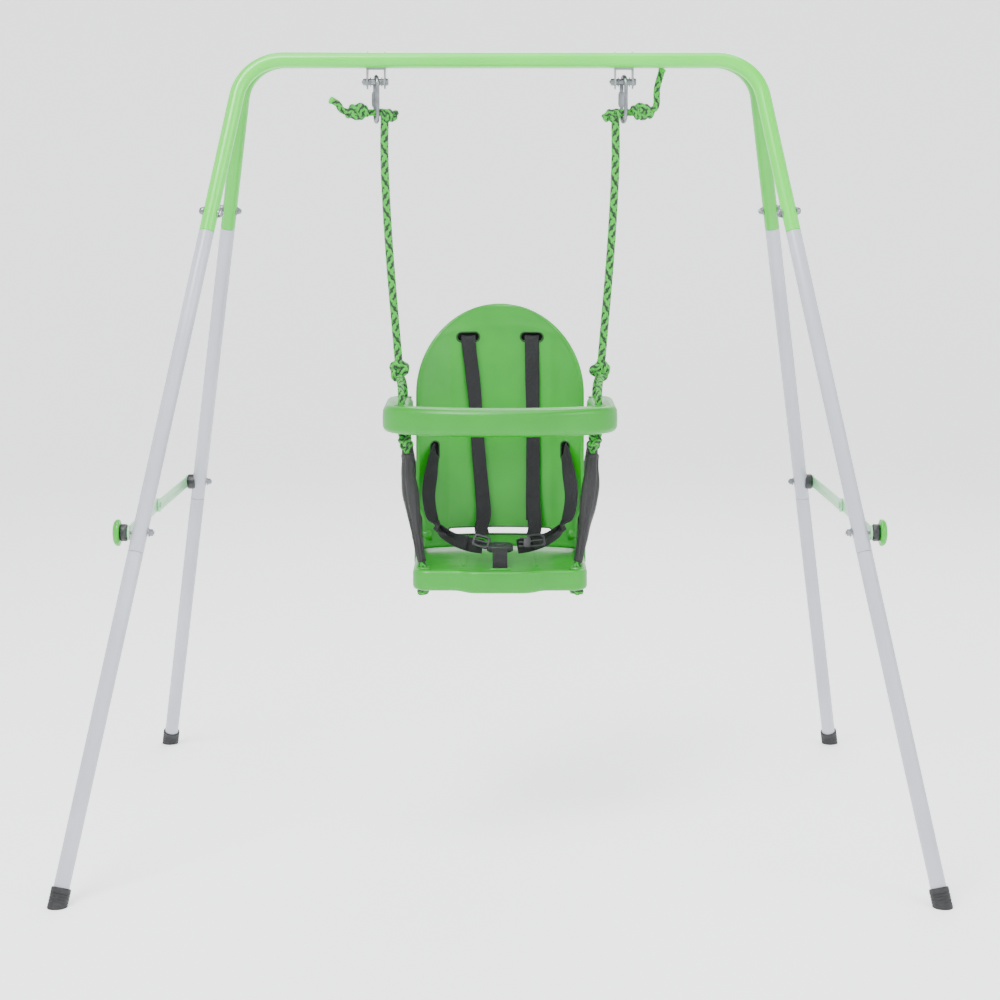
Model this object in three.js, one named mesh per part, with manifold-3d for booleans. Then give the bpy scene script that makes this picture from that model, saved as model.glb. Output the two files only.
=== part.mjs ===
// Baby swing: a folding steel A-frame with a moulded bucket seat hung on two ropes.
// Millimetres, +Z up. The child faces -Y and the bars run along X.
// The origin is on the floor, under the middle of the two top bars.
import * as THREE from "three";
import { mergeVertices } from "three/addons/utils/BufferGeometryUtils.js";
import Module from "manifold-3d";

const wasm = await Module();
wasm.setup();

// ---- driving dimensions of the frame ----
const barHeight = 1312; // axis of the top bars above the floor
const tubeOuter = 25.4;
const tubeWall = 1.2;
const barApart = 3.6; // gap between the two top bars
const cornerHalf = 429; // where a leg's axis meets its bar's axis, from the middle
const footDepth = 506; // each leg's floor point from the middle plane, along Y
const frontFootHalf = 686; // front legs' floor points from the middle, along X
const rearFootHalf = 656; // the rear frame is narrower and stands inside the front one
const bendRadius = 78;
const stubEndHeight = 1029; // where the green tubes end and the grey legs begin
const legBoltHeight = 1060;
const jointHeight = 524; // where each leg's two tubes meet
const pivotHeight = 554; // brace pivots, above that joint
const topSpigot = 50;
const middleSpigot = 62;

// ---- hardware ----
const boltRadius = 3;
const headRadius = 5.6;
const capRadius = 15.6;
const capAbove = 30; // foot cap above the floor, along the leg
const capFloor = 11; // rubber under the leg's end, along the leg
const linkHeight = 20;
const linkPlate = 3.5;
const linkEndRadius = 12;
const linkGroove = { wide: 5, deep: 1.2 };
const spacerRadius = 13.8;
const spacerThick = 8;
const knobDiscRadius = 21.5;
const knobDiscThick = 11;
const knobHubRadius = 14;
const knobHubLength = 12;
const knobBore = 11; // how far the knob's thread reaches onto its bolt

// ---- hangers and ropes ----
const hangerHalf = 209; // each hanger from the middle
const hangerDrop = 36; // hanger bolt's axis under the bars' axes
const earGap = 27; // inside width of a hanger bracket
const earPlate = 2.5;
const shoulderRadius = 5.4;
const flangeRadius = 8;
const flangeApart = 17;
const linkBar = 3.3; // quick link's bar radius
const linkTall = 82; // its outside height
const linkWide = 36;
const linkYaw = 0.2;
const sleeveRadius = 5.8;
const sleeveLength = 25;
const ropeRadius = 7.2;
const strandRadius = 5.8;
const knotHeight = 788; // middle of the knots where each rope splits in two
const knotHalf = 173; // and those knots from the middle
const strandSteps = 20;

// ---- seat ----
const seatShift = -22; // the seat sits this far forward of the hangers, so that it hangs level
const baseTop = 470;
const baseThick = 35;
const baseHalf = 146;
const baseFront = -154;
const baseRear = 138;
const baseBulge = 12; // the front edge's middle stands this far forward
const wall = 3; // blow-moulded walls
const ropeHoleHalf = 129; // rope holes in the base, along X
const ropeHoleDepth = 118; // and from the seat's middle, along Y
const trayTop = 738;
const trayThick = 46;
const trayHalf = 198;
const trayBar = 47;
const trayFront = -154;
const trayCorner = 92; // how far back the curved front runs
const trayRear = 96;
const trayHoleHalf = 166;
const trayHoleDepth = 70;
const trayTravel = 8; // the strands run upright this far above the tray
const trayKnotHeight = 676; // middle of the knots that the tray rests on
const backTop = 896;
const backHalf = 147;
const backThick = 4.2;
const backCurve = 300; // radius of the backrest's hollow, seen from above
const backFoot = 88; // its front face at its foot
const backLean = 0.125; // run back per unit of height
const earHeight = 46;
const earLength = 44;
const earThick = 9;
const earOuter = 150; // the ears' outer faces, from the middle
const pinHeight = 494;
const pinY = 70;
const pinRadius = 5;
const lugRadius = 11;
const shoulderSlot = { half: 56, height: 838, width: 38, tall: 15 };
const lapSlot = { half: 114, height: 641, width: 13, tall: 32 };
const footSlot = { half: 91, height: 499, tall: 11 };
const crotchSlotDepth = -116;
const webWidth = 25;
const webThick = 2.2;

// ---- clearances ----
const gap = 0.3; // between pieces that touch
const boltPlay = 0.3;
const linkApart = 0.9; // the rear link runs slightly inwards, so its round end needs this much room
const hingePlay = 0.35;
const ropePlay = 1.6;

const barOffset = (tubeOuter + barApart) / 2; // each top bar's axis from the middle plane
const tubeInner = tubeOuter / 2 - tubeWall; // inside radius
const spigotOuter = tubeInner - gap;
const spigotInner = spigotOuter - tubeWall;
const hangerHeight = barHeight - hangerDrop;

function paint(color, roughness, metalness) {
  return new THREE.MeshStandardMaterial({ color, roughness, metalness });
}
const finishes = {
  greenPaint: () => paint(0x94e482, 0.35, 0.2),
  greyPaint: () => paint(0xd7d8de, 0.4, 0.3),
  mintPaint: () => paint(0xc8e1cd, 0.45, 0.2),
  zinc: () => paint(0xb9bcc0, 0.3, 0.9),
  rubber: () => paint(0x151617, 0.8, 0),
  greenPlastic: () => paint(0x4cb14f, 0.45, 0),
  rope: () => paint(0x46c94c, 0.8, 0),
  webbing: () => paint(0x24262e, 0.9, 0),
};

const part = new THREE.Group();

// ---- helpers ----
const v3 = (x, y, z) => new THREE.Vector3(x, y, z);

function solidOf(geometry) {
  const bare = new THREE.BufferGeometry();
  const loose = geometry.index ? geometry.toNonIndexed() : geometry;
  bare.setAttribute("position", loose.getAttribute("position"));
  const merged = mergeVertices(bare, 1e-3);
  return new wasm.Manifold(
    new wasm.Mesh({
      numProp: 3,
      vertProperties: merged.attributes.position.array,
      triVerts: new Uint32Array(merged.index.array),
    }),
  );
}

function geometryOf(solid) {
  const mesh = solid.getMesh();
  return new THREE.BufferGeometry()
    .setAttribute("position", new THREE.BufferAttribute(mesh.vertProperties, 3))
    .setIndex(new THREE.BufferAttribute(mesh.triVerts, 1));
}

const cut = (body, ...tools) => tools.reduce((left, tool) => left.subtract(solidOf(tool)), body);
const join = (...shapes) => shapes.map(solidOf).reduce((all, shape) => all.add(shape));

function add(parent, name, shape, finish) {
  const geometry = shape.isBufferGeometry ? shape : geometryOf(shape);
  const mesh = new THREE.Mesh(geometry, finishes[finish]());
  mesh.name = name;
  parent.add(mesh);
  return mesh;
}

// A run of stations that a section is swept along, with the section's own first direction where it matters.
class Run extends THREE.Curve {
  constructor(points, across) {
    super();
    this.points = points;
    this.across = across;
  }
  getPointAt(u) {
    return this.points[Math.round(u * (this.points.length - 1))].clone();
  }
  getTangentAt(u) {
    const last = this.points.length - 1;
    const i = Math.round(u * last);
    return this.points[Math.min(i + 1, last)].clone().sub(this.points[Math.max(i - 1, 0)]).normalize();
  }
  computeFrenetFrames(segments, closed) {
    if (!this.across) return super.computeFrenetFrames(segments, closed);
    const tangents = this.points.map((_, i) => this.getTangentAt(i / segments));
    const normals = tangents.map((t, i) => {
      const side = this.across[i].clone();
      return side.addScaledVector(t, -side.dot(t)).normalize();
    });
    const binormals = tangents.map((t, i) => t.clone().cross(normals[i]));
    return { tangents, normals, binormals };
  }
}

function circle(radius, sides) {
  const corners = Array.from({ length: sides }, (_, i) => (2 * Math.PI * i) / sides);
  return corners.map((a) => new THREE.Vector2(radius * Math.cos(a), radius * Math.sin(a)));
}

function sweep(points, outline, hole, across) {
  const shape = new THREE.Shape(outline);
  if (hole) shape.holes.push(new THREE.Path(hole));
  const extrudePath = new Run(points, across);
  return new THREE.ExtrudeGeometry(shape, { steps: points.length - 1, extrudePath, bevelEnabled: false });
}

const rod = (from, to, radius, sides = 16) => sweep([from, to], circle(radius, sides));
const xRod = (x0, x1, y, z, radius, sides) => rod(v3(x0, y, z), v3(x1, y, z), radius, sides);

function block(x0, x1, y0, y1, z0, z1) {
  const size = new THREE.BoxGeometry(x1 - x0, y1 - y0, z1 - z0);
  return size.translate((x0 + x1) / 2, (y0 + y1) / 2, (z0 + z1) / 2);
}

function ball(x, y, z, rx, ry, rz) {
  return new THREE.SphereGeometry(1, 8, 6).scale(rx, ry, rz).translate(x, y, z);
}

// A turned piece: its profile is (radius, distance along Z) and closes on itself or on the axis.
function turned(profile, sides = 12) {
  const points = profile.map(([r, z]) => new THREE.Vector2(r, z));
  return new THREE.LatheGeometry(points, sides).rotateX(Math.PI / 2);
}

// Points round a bend of the given radius, from the line in to the line out.
function bend(corner, inward, outward, radius, steps) {
  const half = Math.acos(inward.dot(outward)) / 2;
  const start = corner.clone().addScaledVector(inward, -radius * Math.tan(half));
  const centreWay = outward.clone().sub(inward).normalize();
  const centre = corner.clone().addScaledVector(centreWay, radius / Math.cos(half));
  const first = start.clone().sub(centre);
  const axis = inward.clone().cross(outward).normalize();
  const turn = (i) => first.clone().applyAxisAngle(axis, (2 * half * i) / steps).add(centre);
  return Array.from({ length: steps + 1 }, (_, i) => turn(i));
}

function smooth(points, steps) {
  return new THREE.CatmullRomCurve3(points, false, "centripetal").getSpacedPoints(steps);
}

// ---- A-frames ----
const sides = { left: -1, right: 1 };
const frames = {
  front: { sign: -1, footHalf: frontFootHalf },
  rear: { sign: 1, footHalf: rearFootHalf },
};

const cornerOf = (frame, side) => v3(side * cornerHalf, frame.sign * barOffset, barHeight);
const floorOf = (frame, side) => v3(side * frame.footHalf, frame.sign * footDepth, 0);
const legPoint = (frame, side, height) =>
  cornerOf(frame, side).lerp(floorOf(frame, side), (barHeight - height) / barHeight);
const legLength = (frame) => cornerOf(frame, 1).distanceTo(floorOf(frame, 1));
const downLeg = (frame, height) => (legLength(frame) * (barHeight - height)) / barHeight;

// The group of one leg: its Z runs down the leg from the bar, and its X points outwards.
function legGroup(frame, side) {
  const down = floorOf(frame, side).sub(cornerOf(frame, side)).normalize();
  const out = v3(side, 0, 0).addScaledVector(down, -side * down.x).normalize();
  const group = new THREE.Group();
  const turn = new THREE.Matrix4().makeBasis(out, down.clone().cross(out), down);
  group.quaternion.setFromRotationMatrix(turn);
  group.position.copy(cornerOf(frame, side));
  group.updateMatrixWorld(true);
  return group;
}

const inGroup = (geometry, group) => geometry.applyMatrix4(group.matrixWorld.clone().invert());

// Bolt with a domed head and a cap nut, along its group's X.
function cappedBolt(faceApart) {
  const face = faceApart / 2;
  const dome = [
    [0, face + 6.5],
    [3.2, face + 6],
    [4.8, face + 4.4],
    [headRadius, face + 2.6],
    [headRadius, face],
  ];
  const other = dome.map(([r, z]) => [r, -z]).reverse();
  const shank = [[boltRadius, face], [boltRadius, -face]];
  return turned([...dome, ...shank, ...other].reverse(), 8).rotateY(Math.PI / 2);
}

function topTube(frame) {
  const [left, right] = [-1, 1].map((side) => {
    const down = floorOf(frame, side).sub(cornerOf(frame, side)).normalize();
    return { corner: cornerOf(frame, side), down, end: legPoint(frame, side, stubEndHeight) };
  });
  const points = [
    left.end,
    ...bend(left.corner, left.down.clone().negate(), v3(1, 0, 0), bendRadius, 5),
    ...bend(right.corner, v3(1, 0, 0), right.down, bendRadius, 5),
    right.end,
  ];
  return solidOf(sweep(points, circle(tubeOuter / 2, 12), circle(tubeInner, 12)));
}

// A leg tube whose top end is swaged down to slide into the tube above.
function swagedTube(start, spigot, end) {
  return turned([
    [spigotInner, start - spigot],
    [spigotInner, start + 2],
    [tubeInner, start + 5],
    [tubeInner, end],
    [tubeOuter / 2, end],
    [tubeOuter / 2, start + 2],
    [spigotOuter, start + gap],
    [spigotOuter, start - spigot],
    [spigotInner, start - spigot],
  ].reverse());
}

function footCap(frame, group) {
  const end = legLength(frame);
  const cup = turned([
    [0, end + 18],
    [0, end - capFloor + gap],
    [tubeOuter / 2 + gap, end - capFloor + gap],
    [tubeOuter / 2 + gap, end - capAbove],
    [capRadius - 1, end - capAbove],
    [capRadius, end - capAbove + 1],
    [capRadius, end + 18],
    [0, end + 18],
  ], 16);
  const underFloor = inGroup(block(-900, 900, -900, 900, -80, 0), group);
  return cut(solidOf(cup), underFloor);
}

function buildFrame(word, frame) {
  const legBoltHoles = [];
  for (const [sideWord, side] of Object.entries(sides)) {
    const leg = legGroup(frame, side);
    part.add(leg);
    const boltAt = downLeg(frame, legBoltHeight);
    const boltHole = () => xRod(-20, 20, 0, boltAt, boltRadius + boltPlay, 12);
    legBoltHoles.push(boltHole().applyMatrix4(leg.matrixWorld));
    const pivot = legPoint(frame, side, pivotHeight);
    const pivotHole = () =>
      inGroup(xRod(pivot.x - 30, pivot.x + 30, pivot.y, pivot.z, boltRadius + boltPlay, 12), leg);
    const stubEnd = downLeg(frame, stubEndHeight);
    const middle = downLeg(frame, jointHeight);
    const upper = swagedTube(stubEnd, topSpigot, middle);
    const lower = swagedTube(middle, middleSpigot, legLength(frame) - capFloor);
    const at = word + "_" + sideWord;
    add(leg, "upper_leg_" + at, cut(solidOf(upper), boltHole(), pivotHole()), "greyPaint");
    add(leg, "lower_leg_" + at, cut(solidOf(lower), pivotHole()), "greyPaint");
    add(leg, "foot_cap_" + at, footCap(frame, leg), "rubber");
    add(leg, "leg_bolt_" + at, cappedBolt(tubeOuter + 2.8), "zinc").position.z = boltAt;
  }
  add(part, "top_tube_" + word, cut(topTube(frame), ...legBoltHoles), "greenPaint");
}

// ---- braces and knobs ----
const pivots = {
  front: (side) => legPoint(frames.front, side, pivotHeight),
  rear: (side) => legPoint(frames.rear, side, pivotHeight),
};
// A leg's outer face at its pivot, measured along X from the middle.
function outerFace(frame) {
  const down = floorOf(frame, 1).sub(cornerOf(frame, 1)).normalize();
  return legPoint(frame, 1, pivotHeight).x + tubeOuter / 2 / Math.sqrt(1 - down.x * down.x);
}
const frontPlate = outerFace(frames.front) + 2.8; // inner face of the front link, along X
const rearPlateEnd = outerFace(frames.rear) + spacerThick + 2 * gap; // and of the rear link, at the rear leg
const rearPlateMiddle = frontPlate - linkPlate - linkApart; // and where it lies inside the front link
const middleY = (pivots.front(1).y + pivots.rear(1).y) / 2;

// A link's plate along its own X, with its inner face at Y = 0.
function linkPlateShape(length) {
  const outline = new THREE.Shape();
  outline.absarc(0, 0, linkEndRadius, Math.PI / 2, (3 * Math.PI) / 2);
  outline.lineTo(linkEndRadius, -linkHeight / 2);
  outline.lineTo(length - linkEndRadius, -linkHeight / 2);
  outline.absarc(length, 0, linkEndRadius, -Math.PI / 2, Math.PI / 2);
  outline.lineTo(length - linkEndRadius, linkHeight / 2);
  outline.lineTo(linkEndRadius, linkHeight / 2);
  const thickness = { depth: linkPlate, bevelEnabled: false, curveSegments: 8 };
  const plate = new THREE.ExtrudeGeometry(outline, thickness);
  return plate.rotateX(Math.PI / 2).translate(0, linkPlate, 0);
}

// A domed rivet head on a face of a link, pointing along the link's own Y.
function rivetHead(along, face, way) {
  const dome = [[0, 2.4], [3.4, 1.9], [5.2, 0.4], [5.2, -0.5], [0, -0.5]];
  return turned(dome.reverse(), 12).rotateX((-way * Math.PI) / 2).translate(along, face, 0);
}

// A link between two pivots, with a groove along its inner face.
function brace(side, from, to, rivets) {
  const length = from.distanceTo(to);
  const start = linkEndRadius + 14;
  const link = join(linkPlateShape(length), ...rivets(length));
  const groove = block(start, length - start, -1, linkGroove.deep, -linkGroove.wide / 2, linkGroove.wide / 2);
  const hole = rod(v3(0, -20, 0), v3(0, 20, 0), boltRadius + boltPlay, 12);
  const way = to.clone().sub(from).normalize();
  const out = v3(side, 0, 0).addScaledVector(way, -side * way.x).normalize();
  const place = new THREE.Matrix4().makeBasis(way, out, way.clone().cross(out)).setPosition(from);
  return geometryOf(cut(link, groove, hole)).applyMatrix4(place);
}

function buildBrace(sideWord, side) {
  const front = pivots.front(side);
  const rear = pivots.rear(side);
  const at = (x, y) => v3(side * x, y, pivotHeight);
  const rivetInner = -(linkPlate + 2 * linkApart);
  const rivet = (length) => [
    rivetHead(length, linkPlate, 1),
    rod(v3(length, 1, 0), v3(length, rivetInner - 1, 0), boltRadius, 12),
    rivetHead(length, rivetInner, -1),
  ];
  const rearRivet = (length) => [rivetHead(length, linkPlate, 1)];
  const frontLink = brace(side, at(frontPlate, front.y), at(frontPlate, middleY), rivet);
  const rearLink = brace(side, at(rearPlateMiddle, middleY), at(rearPlateEnd, rear.y), rearRivet);
  add(part, "brace_link_front_" + sideWord, frontLink, "mintPaint");
  add(part, "brace_link_rear_" + sideWord, rearLink, "mintPaint");
  buildRearPivot(sideWord, side, rear);
  buildKnob(sideWord, side, front);
}

function buildRearPivot(sideWord, side, pivot) {
  const face = outerFace(frames.rear);
  const leg = rod(cornerOf(frames.rear, side), floorOf(frames.rear, side), tubeOuter / 2 + gap, 24);
  const disc = xRod(side * (face - 4), side * (face + spacerThick), pivot.y, pivot.z, spacerRadius, 24);
  const boltHole = xRod(side * (face - 30), side * (face + 30), pivot.y, pivot.z, boltRadius + boltPlay, 12);
  add(part, "pivot_spacer_" + sideWord, cut(solidOf(disc), leg, boltHole), "rubber");
  const inner = 2 * Math.abs(pivot.x) - face - 1.6;
  const shank = xRod(side * (inner - 1), side * (face + spacerThick - gap), pivot.y, pivot.z, boltRadius, 12);
  const nut = xRod(side * (inner - 6.5), side * inner, pivot.y, pivot.z, headRadius, 6);
  add(part, "pivot_bolt_" + sideWord, join(shank, nut), "zinc");
}

function buildKnob(sideWord, side, pivot) {
  const inner = 2 * Math.abs(pivot.x) - outerFace(frames.front) - 1.6;
  const seat = frontPlate + linkPlate + gap;
  const shank = xRod(side * (inner - 1), side * (seat + knobBore), pivot.y, pivot.z, boltRadius, 12);
  const nut = xRod(side * (inner - 6.5), side * inner, pivot.y, pivot.z, headRadius, 6);
  add(part, "knob_bolt_" + sideWord, join(shank, nut), "zinc");
  const hubEnd = knobHubLength;
  const end = hubEnd + knobDiscThick;
  const knob = turned([
    [boltRadius + boltPlay, 0],
    [knobHubRadius - 2, 0],
    [knobHubRadius, 2],
    [knobHubRadius, hubEnd - 2],
    [knobHubRadius - 2, hubEnd],
    [knobDiscRadius, hubEnd],
    [knobDiscRadius, hubEnd + 4],
    [knobDiscRadius - 3, end - 2],
    [knobDiscRadius - 9, end],
    [0, end],
    [0, knobBore + 1],
    [boltRadius + boltPlay, knobBore + 1],
    [boltRadius + boltPlay, 0],
  ], 16).rotateY(side * Math.PI / 2);
  add(part, "knob_" + sideWord, knob, "greenPlastic").position.set(side * seat, pivot.y, pivot.z);
}

// ---- hangers ----
// The bracket is welded under the front bar. Its two ears carry the bolt and wrap round the rear bar,
// which turns in them when the frame folds.
function hangerBracket() {
  const outline = new THREE.Shape();
  const low = new THREE.Vector2(0, hangerHeight);
  outline.absarc(barOffset, barHeight, tubeOuter / 2 + 2.9, -0.55, Math.PI + 0.9);
  outline.lineTo(-15, barHeight - 14);
  outline.absarc(low.x, low.y, 12, Math.PI, 2 * Math.PI);
  const ear = (x) =>
    new THREE.ExtrudeGeometry(outline, { depth: earPlate, bevelEnabled: false, curveSegments: 7 })
      .rotateX(Math.PI / 2)
      .rotateZ(Math.PI / 2)
      .translate(x, 0, 0);
  const webTop = barHeight - tubeOuter / 2 - gap;
  const web = block(-earGap / 2 - 1, earGap / 2 + 1, -14, 9, webTop - earPlate, webTop);
  return cut(
    join(ear(-earGap / 2 - earPlate), ear(earGap / 2), web),
    xRod(-40, 40, -barOffset, barHeight, tubeOuter / 2 + gap, 16),
    xRod(-40, 40, barOffset, barHeight, tubeOuter / 2 + hingePlay, 16),
    xRod(-40, 40, 0, hangerHeight, boltRadius + boltPlay, 12),
  );
}

// Shoulder bolt with the two flanges that keep the quick link in the middle.
function hangerBolt() {
  const ear = earGap / 2 + earPlate + gap;
  return join(
    xRod(-ear - 8, ear + 1, 0, 0, boltRadius, 12),
    xRod(-ear - 6, -ear, 0, 0, 5.7, 6),
    xRod(ear, ear + 4.5, 0, 0, 5.7, 6),
    xRod(-earGap / 2 + gap, earGap / 2 - gap, 0, 0, shoulderRadius, 12),
    xRod(-flangeApart / 2 - 2, -flangeApart / 2, 0, 0, flangeRadius, 12),
    xRod(flangeApart / 2, flangeApart / 2 + 2, 0, 0, flangeRadius, 12),
  );
}

// An oval of bar in the YZ plane, open behind the sleeve. Its origin is the hanger bolt's axis.
const linkBend = linkWide / 2 - linkBar;
const linkTopZ = shoulderRadius + linkBar + gap;
const linkLowZ = linkTopZ + linkBar - (linkTall - linkBar);
function quickLink() {
  const open = 4;
  const straight = (linkTopZ - linkBend + linkLowZ + linkBend) / 2;
  const arc = (z, from) =>
    Array.from({ length: 9 }, (_, i) => from + (Math.PI * i) / 8).map((a) =>
      v3(0, linkBend * Math.cos(a), z + linkBend * Math.sin(a)),
    );
  const points = [
    v3(0, linkBend, straight + open / 2),
    ...arc(linkTopZ - linkBend, 0),
    ...arc(linkLowZ + linkBend, Math.PI),
    v3(0, linkBend, straight - open / 2),
  ];
  return sweep(points, circle(linkBar, 8));
}

function linkSleeve() {
  const middle = (linkTopZ + linkLowZ) / 2;
  const tube = sweep(
    [v3(0, linkBend, middle + sleeveLength / 2), v3(0, linkBend, middle - sleeveLength / 2)],
    circle(sleeveRadius, 12),
    circle(linkBar + gap, 12),
  );
  return tube;
}

function buildHanger(sideWord, side) {
  const x = side * hangerHalf;
  add(part, "hanger_bracket_" + sideWord, hangerBracket(), "zinc").position.x = x;
  add(part, "hanger_bolt_" + sideWord, hangerBolt(), "zinc").position.set(x, 0, hangerHeight);
  const link = new THREE.Group();
  link.position.set(x, 0, hangerHeight);
  link.rotation.z = linkYaw;
  part.add(link);
  add(link, "quick_link_" + sideWord, quickLink(), "zinc");
  add(link, "link_sleeve_" + sideWord, linkSleeve(), "zinc");
}

// ---- ropes ----
// Each rope ends in a knot through its quick link, and its tail stands out of that knot.
const eyeZ = hangerHeight + linkLowZ + linkBar + 11.5;
const tails = {
  left: [v3(-58, 2, 5), v3(-66, 0, 16), v3(-75, -2, 21)],
  right: [v3(54, -2, 10), v3(56, 0, 40), v3(64, 2, 70)],
};

function upperRope(sideWord, side) {
  const x = side * hangerHalf;
  const inX = x - side * 14; // the rope hangs beside its link, on the inner side
  const tail = [v3(x + side * 44, 0, eyeZ), ...tails[sideWord].map((p) => v3(x + p.x, p.y, eyeZ + p.z))];
  const run = [
    v3(inX, 0, eyeZ - 2),
    v3(inX + side, 0, 1150),
    v3(side * 190, 0, 1011),
    v3(side * knotHalf, 0, knotHeight),
  ];
  return join(
    xRod(x + side * 36, x - side * 22, 0, eyeZ, strandRadius, 8),
    ball(x + side * 34, 0, eyeZ + 2, 20, 14.5, 14.5),
    ball(x - side * 22, 0, eyeZ - 3, 15, 11, 11),
    sweep(smooth(tail, 5), circle(strandRadius, 8)),
    sweep(smooth(run, 8), circle(ropeRadius, 8)),
    ball(side * knotHalf, 0, knotHeight, 19, 15, 21),
  );
}

// The middle line of a strand: out of the split knot, down through the tray, and on through the base.
// front is -1 or 1. The rear strands bow outwards a little to pass the backrest's edges.
function strandLine(side, front) {
  const bow = front > 0 ? 5 : 0;
  const at = (x, y, z) => v3(side * x, front * y + seatShift, z);
  const knotSide = v3(side * (knotHalf - 1), front * 16, knotHeight - 11);
  const holeMouth = at(trayHoleHalf, trayHoleDepth - 1, trayTop + trayTravel + 3);
  return smooth(
    [
      knotSide,
      knotSide.clone().lerp(holeMouth, 0.62).setZ(trayTop + trayTravel + 21),
      holeMouth,
      at(trayHoleHalf, trayHoleDepth, trayTop),
      at(trayHoleHalf, trayHoleDepth, trayTop - trayThick - 5),
      at(159 + bow, trayHoleDepth + 4, trayKnotHeight),
      at(153 + bow, 87, 605),
      at(133, ropeHoleDepth - 2, baseTop + 18),
      at(ropeHoleHalf, ropeHoleDepth, baseTop),
      at(ropeHoleHalf, ropeHoleDepth, baseTop - baseThick - 4),
    ],
    strandSteps,
  );
}

function strand(side, front) {
  const line = strandLine(side, front);
  const off = (p) => Math.abs(p.z - trayKnotHeight);
  const under = line.reduce((a, b) => (off(b) < off(a) ? b : a));
  const foot = line[line.length - 1];
  return join(
    sweep(line, circle(strandRadius, 8)),
    ball(under.x, under.y, trayKnotHeight, 13, 12, 13.5),
    ball(foot.x, foot.y, foot.z - 3, 11, 11, 6),
  );
}

function ropeSleeve(side, front) {
  const inside = (p, i) => i % 2 && p.z > baseTop + 5 && p.z < trayKnotHeight - 14;
  const line = strandLine(side, front).filter(inside);
  return sweep(line, circle(10.5, 8), circle(strandRadius + 2, 8));
}

function buildRope(sideWord, side) {
  add(part, "rope_upper_" + sideWord, upperRope(sideWord, side), "rope");
  for (const [frontWord, front] of [["front", -1], ["rear", 1]]) {
    add(part, "rope_" + frontWord + "_" + sideWord, strand(side, front), "rope");
    add(part, "rope_sleeve_" + frontWord + "_" + sideWord, ropeSleeve(side, front), "webbing");
  }
}

// ---- seat ----
// Plan of the base, drawn in by inset: round corners, and a middle that stands forward.
function basePlan(inset) {
  const half = baseHalf - inset;
  const [front, rear] = [baseFront + inset, baseRear - inset];
  const round = 26 - inset;
  const plan = new THREE.Shape();
  plan.moveTo(-half + round, front);
  plan.lineTo(-78, front);
  plan.bezierCurveTo(-58, front, -56, front - baseBulge, -34, front - baseBulge);
  plan.lineTo(34, front - baseBulge);
  plan.bezierCurveTo(56, front - baseBulge, 58, front, 78, front);
  plan.lineTo(half - round, front);
  plan.absarc(half - round, front + round, round, -Math.PI / 2, 0);
  plan.absarc(half - round, rear - round, round, 0, Math.PI / 2);
  plan.absarc(-half + round, rear - round, round, Math.PI / 2, Math.PI);
  plan.absarc(-half + round, front + round, round, Math.PI, (3 * Math.PI) / 2);
  return plan;
}

// Plan of the tray: a U that opens to the back, with a bowed front and round arm ends.
function trayPlan(inset) {
  const outer = trayHalf - inset;
  const inner = trayHalf - trayBar + inset;
  const cornerY = trayFront + trayCorner;
  const tip = (outer - inner) / 2;
  const plan = new THREE.Shape();
  plan.moveTo(-outer, cornerY);
  plan.absellipse(0, cornerY, outer, trayCorner - inset, -Math.PI, 0);
  plan.absarc(outer - tip, trayRear - inset - tip, tip, 0, Math.PI);
  plan.lineTo(inner, cornerY);
  plan.absellipse(0, cornerY, inner, trayCorner - trayBar + inset, 0, -Math.PI, true);
  plan.absarc(-outer + tip, trayRear - inset - tip, tip, 0, Math.PI);
  return plan;
}

// A moulding with rounded edges from z0 up to z1.
function moulded(plan, z0, z1, round, curveSegments, bevelSegments) {
  const options = {
    depth: z1 - z0 - 2 * round,
    bevelSize: round,
    bevelOffset: -round,
    bevelThickness: round,
    bevelSegments,
    curveSegments,
  };
  return new THREE.ExtrudeGeometry(plan, options).translate(0, 0, z0 + round);
}

const upright = (x, y, z0, z1, radius, sides) => rod(v3(x, y, z0), v3(x, y, z1), radius, sides);

// An ear that stands on the base's side, with a round top.
function ear(side) {
  const [x0, x1] = side > 0 ? [earOuter - earThick, earOuter] : [-earOuter, -earOuter + earThick];
  const top = baseTop + earHeight - earLength / 2;
  return join(
    block(x0, x1, pinY - earLength / 2, pinY + earLength / 2, baseTop - baseThick + 9, top),
    xRod(x0, x1, pinY, top, earLength / 2, 20),
  );
}

function seatBase() {
  const low = baseTop - baseThick;
  const hollow = moulded(basePlan(wall), low + wall, baseTop - wall, 4, 3, 1);
  const blowHole = upright(0, 60, low - 5, low + 10, 5, 10);
  let shape = cut(solidOf(moulded(basePlan(0), low, baseTop, 7, 4, 1)), hollow, blowHole);
  const holes = [];
  for (const side of [-1, 1]) {
    const x = side * ropeHoleHalf;
    shape = shape.add(ear(side));
    holes.push(xRod(side * (earOuter - 20), side * (earOuter + 20), pinY, pinHeight, pinRadius + gap, 12));
    for (const front of [-1, 1]) {
      const y = front * ropeHoleDepth;
      shape = shape.add(solidOf(upright(x, y, low + 1, baseTop - 1, 10, 12)));
      holes.push(upright(x, y, low - 5, baseTop + 5, strandRadius + ropePlay, 12));
      holes.push(ball(x, y, low - 7, 12, 12, 7));
    }
  }
  const slotHalf = webWidth / 2 + 1.5;
  const post = block(-slotHalf - 3, slotHalf + 3, crotchSlotDepth - 6, crotchSlotDepth + 6, low + 1, baseTop - 1);
  const slot = block(-slotHalf, slotHalf, crotchSlotDepth - 2.5, crotchSlotDepth + 2.5, low - 5, baseTop + 5);
  return cut(shape.add(solidOf(post)), ...holes, slot);
}

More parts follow.
